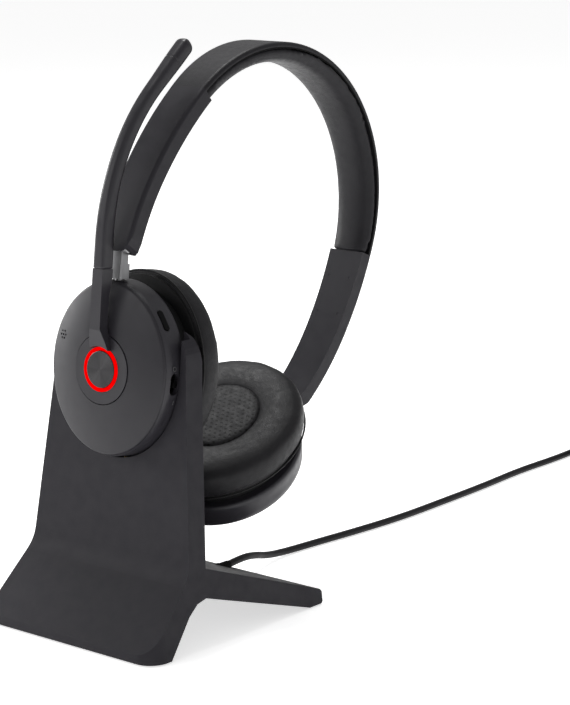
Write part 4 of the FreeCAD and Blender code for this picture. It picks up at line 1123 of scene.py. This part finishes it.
# ---------------------------------------------------------------- cups
@dataclass
class EarPad:
    """Leatherette ear cushion, sewn to its base and to a perforated disc (millimetres)."""

    side: Side
    home: Matrix
    body: str
    inner: tuple[float, float] = (14.3, 16.8)
    outer: tuple[float, float] = (31.7, 36.5)
    around: int = 96
    section: Sequence[tuple[float, float]] = (
        (0.0, 22.7), (0.0, 27.0), (0.0, 31.0), (0.0, 32.7), (0.06, 33.2), (0.22, 33.7), (0.42, 33.9),
        (0.62, 33.7), (0.80, 33.0), (0.92, 31.7), (0.975, 29.8), (0.985, 27.0), (0.985, 24.0), (0.965, 22.2),
        (0.93, 21.5), (0.86, 21.6), (0.80, 22.7), (0.4, 22.7),
    )
    folds: int = 46
    disc_half: tuple[float, float] = (14.1, 16.6)
    piping_half: tuple[float, float] = (31.3, 36.1)
    piping_depth: float = 21.9
    piping_radius: float = 0.4
    stuffing: Stuffing = field(default_factory=Stuffing)

    def point(self, share: float, depth: float, degrees: float) -> Vector:
        """Point between the inner and the outer oval, in the cup's frame.

        Args:
            share: how far out it lies, from 0 to 1.
            depth: distance in from the cup's face, in millimetres.
            degrees: angle round the oval.

        Returns:
            The point, in metres.
        """
        half_x = self.inner[0] + (self.outer[0] - self.inner[0]) * share
        half_z = self.inner[1] + (self.outer[1] - self.inner[1]) * share
        x, z = oval(half_x, half_z, degrees)
        return Vector((x, depth, z)) * MM

    def share_of(self, at: Vector) -> float:
        """How far out a point lies between the two ovals.

        Args:
            at: the point, in the cup's frame.

        Returns:
            The share, 0 on the inner oval and 1 on the outer one.
        """
        angle = math.atan2(at.z / self.outer[1], at.x / self.outer[0])
        low = math.hypot(self.inner[0] * math.cos(angle), self.inner[1] * math.sin(angle)) * MM
        high = math.hypot(self.outer[0] * math.cos(angle), self.outer[1] * math.sin(angle)) * MM
        return (math.hypot(at.x, at.z) - low) / (high - low)

    def held(self, at: Vector) -> float:
        """Sewn down along the base and along the disc.

        Args:
            at: the point, in the cup's frame.

        Returns:
            How firmly it is sewn down, from 0 to 1.
        """
        share = self.share_of(at)
        if at.y < 23.0 * MM:
            return 1.0
        if share < 0.06:
            return 1.0
        return max(0.0, 1.0 - (share - 0.06) / 0.12)

    def cushion(self) -> bpy.types.Mesh:
        """The stuffed ring, with small gathers along its seams.

        Returns:
            The mesh, in the frame's own place.
        """
        points = [self.point(share, depth, 360.0 * i / self.around)
                  for i in range(self.around) for share, depth in self.section]
        faces = grid_faces(self.around, len(self.section), True, True)
        mesh = self.stuffing.inflate(smooth_mesh("cut", points, faces), self.held)
        work = bmesh.new()
        work.from_mesh(mesh)
        bmesh.ops.smooth_vert(work, verts=work.verts, factor=0.4, use_axis_x=True, use_axis_y=True,
                              use_axis_z=True)
        work.normal_update()
        for vertex in work.verts:
            at = vertex.co
            share = self.share_of(at)
            angle = math.atan2(at.z, at.x)
            top = max(0.0, 1.0 - abs(share - 0.08) / 0.16) * (1.0 if at.y > 31 * MM else 0.0)
            low = max(0.0, 1.0 - abs(at.y / MM - 24.2) / 1.8) * (1.0 if share > 0.6 else 0.0)
            wave = math.sin(self.folds * angle + 2.5 * math.sin(3 * angle))
            soft = noise.noise(at * 130.0) * 0.22
            at += vertex.normal * ((wave * (0.06 * top + 0.06 * low) + soft * min(1.0, share * 3)) * MM)
        work.to_mesh(mesh)
        work.free()
        mesh.transform(self.home)
        return mesh

    def disc(self) -> bpy.types.Mesh:
        """Domed perforated disc, with its edge turned down into the ring.

        Returns:
            The mesh, in the frame's own place.
        """
        rings = [(0.0, 34.25), (0.25, 34.24), (0.5, 34.2), (0.75, 34.12), (0.94, 34.0), (1.03, 33.75),
                 (1.08, 33.3), (1.08, 30.0)]
        points = [Vector((0.0, rings[0][1], 0.0)) * MM]
        for share, depth in rings[1:]:
            for i in range(self.around):
                x, z = oval(self.disc_half[0] * share, self.disc_half[1] * share, 360.0 * i / self.around)
                points.append(Vector((x, depth, z)) * MM)
        count = self.around
        faces = [(0, 1 + i, 1 + (i + 1) % count) for i in range(count)]
        for r in range(len(rings) - 2):
            for i in range(count):
                j = (i + 1) % count
                faces.append((1 + r * count + i, 1 + r * count + j, 1 + (r + 1) * count + j,
                              1 + (r + 1) * count + i))
        faces.append(tuple(1 + (len(rings) - 2) * count + i for i in range(count)))
        mesh = smooth_mesh("disc", points, faces)
        mesh.transform(self.home)
        return mesh

    def seam(self, half_x: float, half_z: float, depth: float, radius: float) -> bpy.types.Mesh:
        """Piping round an oval.

        Args:
            half_x: half width of the oval, in millimetres.
            half_z: half height of the oval, in millimetres.
            depth: distance in from the cup's face, in millimetres.
            radius: the piping's radius, in millimetres.

        Returns:
            The mesh.
        """
        line = []
        for i in range(self.around):
            x, z = oval(half_x, half_z, 360.0 * i / self.around)
            line.append(self.home @ (Vector((x, depth, z)) * MM))
        return swept_tube("piping", line, radius * MM, True, 8)

    def build(self, palette: Palette) -> None:
        """Make the cushion, its disc and its piping.

        Args:
            palette: the finishes.
        """
        name = self.side.value
        cushion = new_piece(f"{name}_ear_cushion", self.cushion(), palette.pad, self.body)
        cushion.modifiers.new("soften", "SUBSURF").levels = 1
        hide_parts(f"{name}_cushion")
        disc_finish = palette.docked_disc if self.side is Side.DOCKED else palette.free_disc
        disc = new_piece(f"{name}_perforated_disc", self.disc(), disc_finish, self.body)
        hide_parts(f"{name}_speaker_cloth")
        piping = self.seam(*self.piping_half, self.piping_depth, self.piping_radius)
        new_piece(f"{name}_base_piping", piping, palette.piping, self.body)


@dataclass
class EarCup:
    """One ear cup: shells, insides and pad."""

    side: Side
    home: Matrix
    body: str

    def dress(self, palette: Palette) -> None:
        """Give the cup's own pieces their finishes.

        Args:
            palette: the finishes.
        """
        name = self.side.value
        dress_nodes(palette.cup, [f"{name}_cover"])
        # The rim wears the lightened copy of the cup's plastic, painted light.
        dress_nodes(palette.rim, [f"{name}_rim"])
        dress_nodes(palette.inner, [f"{name}_baffle", f"{name}_swivel_bush"])
        dress_nodes(palette.steel, [f"{name}_driver", f"{name}_cup_screws"])

    def build(self, palette: Palette) -> None:
        """Dress the cup and sew its pad.

        Args:
            palette: the finishes.
        """
        self.dress(palette)
        EarPad(self.side, self.home, self.body).build(palette)


@dataclass
class Controls:
    """What the docked cup carries: light, keys, marks, board, cell and contacts."""

    home: Matrix
    body: str = "docked_cup"
    rim_half: tuple[float, float] = (29.5, 33.3)
    print_radius: float = 0.14
    print_lift: float = 0.02

    def rim_point(self, degrees: float, depth: float, proud: float) -> tuple[Vector, Vector]:
        """Point on the rim and the direction out of it.

        Args:
            degrees: angle round the rim from its top, towards +X.
            depth: distance in from the face.
            proud: distance out from the rim.

        Returns:
            The point and the outward direction, in the cup's frame, in metres and as a unit.
        """
        a = math.radians(degrees)
        half_x, half_z = self.rim_half
        out = Vector((math.sin(a) / half_x, 0.0, math.cos(a) / half_z)).normalized()
        at = Vector((half_x * math.sin(a), depth, half_z * math.cos(a))) + out * proud
        return at * MM, out

    def mark(self, name: str, degrees: float, depth: float, outline: Sequence[tuple[float, float]],
             closed: bool, palette: Palette) -> None:
        """Print a thin line mark on the rim.

        Args:
            name: the mark's name.
            degrees: where it is round the rim.
            depth: how far it is from the face.
            outline: its line, as distances round and in from that place, in millimetres.
            closed: whether the line comes back to its start.
            palette: the finishes.
        """
        line = []
        for along, inward in outline:
            at, _ = self.rim_point(degrees + math.degrees(along / 31.0), depth + inward, self.print_lift)
            line.append(self.home @ at)
        mesh = swept_tube(name, line, self.print_radius * MM, closed, 6)
        new_piece(name, mesh, palette.print, self.body)

    def build(self, palette: Palette) -> None:
        """Dress the pieces and print the marks.

        Args:
            palette: the finishes.
        """
        dress_nodes(palette.light, ["led_ring"])
        dress_nodes(palette.button, ["call_button"])
        dress_nodes(palette.key, ["mute_button", "power_switch"])
        dress_nodes(palette.inner, ["hub_post"])
        dress_nodes(palette.board, ["main_board"])
        dress_nodes(palette.foil, ["battery"])
        dress_nodes(palette.gold, ["charge_contacts"])
        circle = [(0.75 * math.cos(math.radians(20 * k)), 0.75 * math.sin(math.radians(20 * k)))
                  for k in range(18)]
        self.mark("power_mark_ring", 84.0, 7.8, circle, True, palette)
        self.mark("link_mark_dash", 106.0, 9.0, [(-0.8, 0.0), (0.0, 0.0), (0.8, 0.0)], False, palette)


# ---------------------------------------------------------------- boom
@dataclass
class Boom:
    """Turning boom: the frame's own hub, and one smooth arm with the microphone in its end."""

    home: Matrix
    body: str = "boom"
    depth: float = -1.7
    joint: float = 37.6
    bend_start: float = 48.3
    bend_radius: float = 80.0
    bend: float = 44.0
    tip_run: float = 25.0
    cap: float = 11.0
    half: tuple[float, float] = (2.55, 2.85)
    tip_half: tuple[float, float] = (2.95, 3.2)
    nose: float = 3.2
    squareness: tuple[float, float] = (9.0, 3.2)
    square_run: float = 34.0
    port_back: float = 5.2
    port_half: float = 1.2
    port_radius: float = 0.32
    sides: int = 40

    def station(self, along: float) -> tuple[Vector, Vector]:
        """Point of the centre line and the way out of the bend there.

        Args:
            along: distance from the joint with the hub's root, in millimetres.

        Returns:
            The point in millimetres and the outward direction, in the cup's frame.
        """
        straight = self.bend_start - self.joint
        arc = math.radians(self.bend) * self.bend_radius
        angle = min(max(along - straight, 0.0), arc) / self.bend_radius
        rest = max(along - straight - arc, 0.0)
        up = min(along, straight)
        y = self.depth + self.bend_radius * (1.0 - math.cos(angle)) + rest * math.sin(angle)
        z = self.joint + up + self.bend_radius * math.sin(angle) + rest * math.cos(angle)
        return Vector((0.0, y, z)), Vector((0.0, -math.cos(angle), math.sin(angle)))

    def total(self) -> float:
        """Length of the centre line, in millimetres."""
        return (self.bend_start - self.joint + math.radians(self.bend) * self.bend_radius
                + self.tip_run)

    def fullness(self, along: float) -> tuple[float, float]:
        """Half width and half depth at a distance from the joint.

        Args:
            along: distance from the joint, in millimetres.

        Returns:
            Half the width and half the depth, in millimetres.
        """
        total = self.total()
        swell = max(0.0, min(1.0, (along - (total - self.cap - 16.0)) / 20.0))
        swell = swell * swell * (3.0 - 2.0 * swell)
        wide = self.half[0] + (self.tip_half[0] - self.half[0]) * swell
        deep = self.half[1] + (self.tip_half[1] - self.half[1]) * swell
        left = total - along
        close = math.sqrt(max(0.0, 1.0 - (1.0 - left / self.nose) ** 2)) if left < self.nose else 1.0
        seam = 0.12 if abs(left - self.cap) < 0.12 else 0.0
        return (wide - seam) * close, (deep - seam) * close

    def arm(self) -> bpy.types.Mesh:
        """The arm, one smooth oval bar with a round nose.

        Returns:
            The mesh, in the frame's own place.
        """
        total = self.total()
        places = [total * k / 110.0 for k in range(1, 104)]
        places += [total - self.cap + d for d in (-0.3, -0.14, -0.1, 0.1, 0.14, 0.3)]
        places += [total - self.nose * (1.0 - math.sin(math.radians(9.0 * k))) for k in range(10)]
        places = [0.0, 0.25] + sorted(a for a in places if a > 0.3)
        points = []
        for along in places:
            middle, out = self.station(along)
            wide, deep = self.fullness(along)
            pinch = 0.25 if along < 0.2 else 0.0
            first, last = self.squareness
            square = last + (first - last) * max(0.0, 1.0 - along / self.square_run) ** 1.5
            for k in range(self.sides):
                x, y = squared(2.0 * math.pi * k / self.sides, square)
                points.append(middle * MM + (Vector((1.0, 0.0, 0.0)) * x * (wide - pinch)
                                             + out * y * (deep - pinch)) * MM)
        faces = grid_faces(len(places), self.sides, False, True)
        faces.append(tuple(range(self.sides)))
        end, nose = (len(places) - 1) * self.sides, self.station(total)[0] * MM
        points.append(nose)
        faces += [(end + k, end + (k + 1) % self.sides, len(points) - 1) for k in range(self.sides)]
        mesh = smooth_mesh("boom_arm", points, faces)
        mesh.transform(self.home)
        return mesh

    def sound_port(self) -> bpy.types.Mesh:
        """Dark tube along the microphone's slot, on the side of the nose that faces the mouth, painted shade
        in the slot.

        Returns:
            The mesh, in the frame's own place.
        """
        along = self.total() - self.port_back
        middle, out = self.station(along)
        way = Vector((0.0, -out.z, out.y)) * -1.0
        _, deep = self.fullness(along)
        steps = 8
        line = []
        for k in range(steps + 1):
            slide = self.port_half * (2.0 * k / steps - 1.0)
            line.append(self.home @ ((middle - out * (deep - 0.05) + way * slide) * MM))
        return swept_tube("sound_port", line, self.port_radius * MM, False, 10)

    def build(self, palette: Palette) -> None:
        """Dress the hub and make the arm.

        Args:
            palette: the finishes.
        """
        # The hub wears the lightened copy of the cup's plastic, painted light.
        dress_nodes(palette.hub, ["boom_hub"])
        dress_nodes(palette.steel, ["boom_mic"])
        arm = new_piece("boom_arm", self.arm(), palette.boom, self.body)
        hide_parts("boom_tube", "boom_cap")
        # Painted shade: a near-black tube marks the microphone's slot.
        new_piece("boom_sound_port", self.sound_port(), palette.shadow, self.body)


# ---------------------------------------------------------------- headband
@dataclass
class Headband:
    """Crown pad under a skinned cover, two arms and their sliders."""

    home: Matrix
    crown: Crown
    steps: int = 120
    groove_depth: float = 2.28
    groove_inset: float = 0.28
    groove_radius: float = 0.24
    section: Sequence[tuple[float, float]] = (
        (0.955, 2.5), (0.975, 3.2), (0.955, 4.4), (0.90, 5.8), (0.76, 7.1), (0.52, 7.9), (0.26, 8.2),
        (0.0, 8.3),
    )
    stuffing: Stuffing = field(default_factory=lambda: Stuffing(voxel=1.4 * MM, cap=0.45 * MM))

    def pad(self) -> bpy.types.Mesh:
        """Stuffed pad, sewn down along both edges and at both ends.

        Returns:
            The mesh, in the frame's own place.
        """
        half = list(self.section)
        loop = half + [(-across, depth) for across, depth in reversed(half[:-1])]
        start, end = self.crown.end + 0.15, 180.0 - self.crown.end - 0.15
        points = []
        for i in range(self.steps + 1):
            degrees = start + (end - start) * i / self.steps
            width = self.crown.half_width(degrees)
            for across, depth in loop:
                points.append(self.crown.at(degrees, depth, across * width))
        cut = smooth_mesh("cut", points, capped_faces(self.steps + 1, len(loop)))
        mesh = self.stuffing.inflate(cut, self.held)
        mesh.transform(self.home)
        return mesh

    def held(self, at: Vector) -> float:
        """Sewn down under the cover and at the ends.

        Args:
            at: the point, in the band's frame.

        Returns:
            How firmly it is sewn down, from 0 to 1.
        """
        depth = self.crown.radius - math.hypot(at.y, at.z) / MM
        degrees = math.degrees(math.atan2(at.z, at.y))
        nearest = min(degrees, 180.0 - degrees) - self.crown.end
        return max(min(1.0, max(0.0, (4.2 - depth) / 0.8)), min(1.0, max(0.0, 1.0 - nearest / 2.5)))

    def edge_line(self, side: int, depth: float, out: float) -> list[Vector]:
        """Line along one edge of the crown.

        Args:
            side: -1 or 1, for the left or the right edge.
            depth: distance in from the outer curve, in millimetres.
            out: distance out from the band's edge, in millimetres.

        Returns:
            The points of the line.
        """
        line = []
        for i in range(self.steps + 1):
            degrees = self.crown.end + 0.4 + (180.0 - 2 * self.crown.end - 0.8) * i / self.steps
            width = self.crown.half_width(degrees) + out
            line.append(self.home @ self.crown.at(degrees, depth, side * width))
        return line

    def build(self, palette: Palette) -> None:
        """Sew the pad, lay near-black tubes along its edges as painted shade in the grooves, and dress the
        band.

        Args:
            palette: the finishes.
        """
        pad = new_piece("crown_cushion", self.pad(), palette.skin, "headband")
        pad.modifiers.new("soften", "SUBSURF").levels = 1
        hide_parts("crown_pad")
        for side, name in ((-1, "left"), (1, "right")):
            # Painted shade: a near-black tube lies in each groove beside the pad.
            line = self.edge_line(side, self.groove_depth, -self.groove_inset)
            tube = swept_tube("groove", line, self.groove_radius * MM, False, 8)
            new_piece(f"crown_groove_shadow_{name}", tube, palette.shadow, "headband")
        dress_nodes(palette.skin, ["crown_cover"])
        for name in ("near", "far"):
            dress_nodes(palette.arm, [f"{name}_arm_shell", f"{name}_arm_cover"])
            dress_nodes(palette.stem, [f"{name}_stem"])
            dress_nodes(palette.steel, [f"{name}_slider", f"{name}_tilt_pin"])
        dress_nodes(palette.spring, ["band_spring"])
        dress_nodes(palette.arm, ["arm_screws"])


def main() -> None:
    """Build the scene, piece by piece."""
    logging.basicConfig(level=logging.INFO, format="%(message)s")
    pose, crown = Pose(), Crown()
    front = pose.front()
    docked, free, band = pose.docked_cup(), pose.free_cup(crown), pose.band(crown)
    palette = Palette(docked, free)
    Studio().build(front)
    Lead().build(front, palette)
    Stand().dress(palette)
    EarCup(Side.DOCKED, docked, "docked_cup").build(palette)
    Controls(docked).build(palette)
    Boom(docked).build(palette)
    Headband(band, crown).build(palette)
    EarCup(Side.FREE, free, "free_cup").build(palette)


if __name__ == "__main__":
    main()
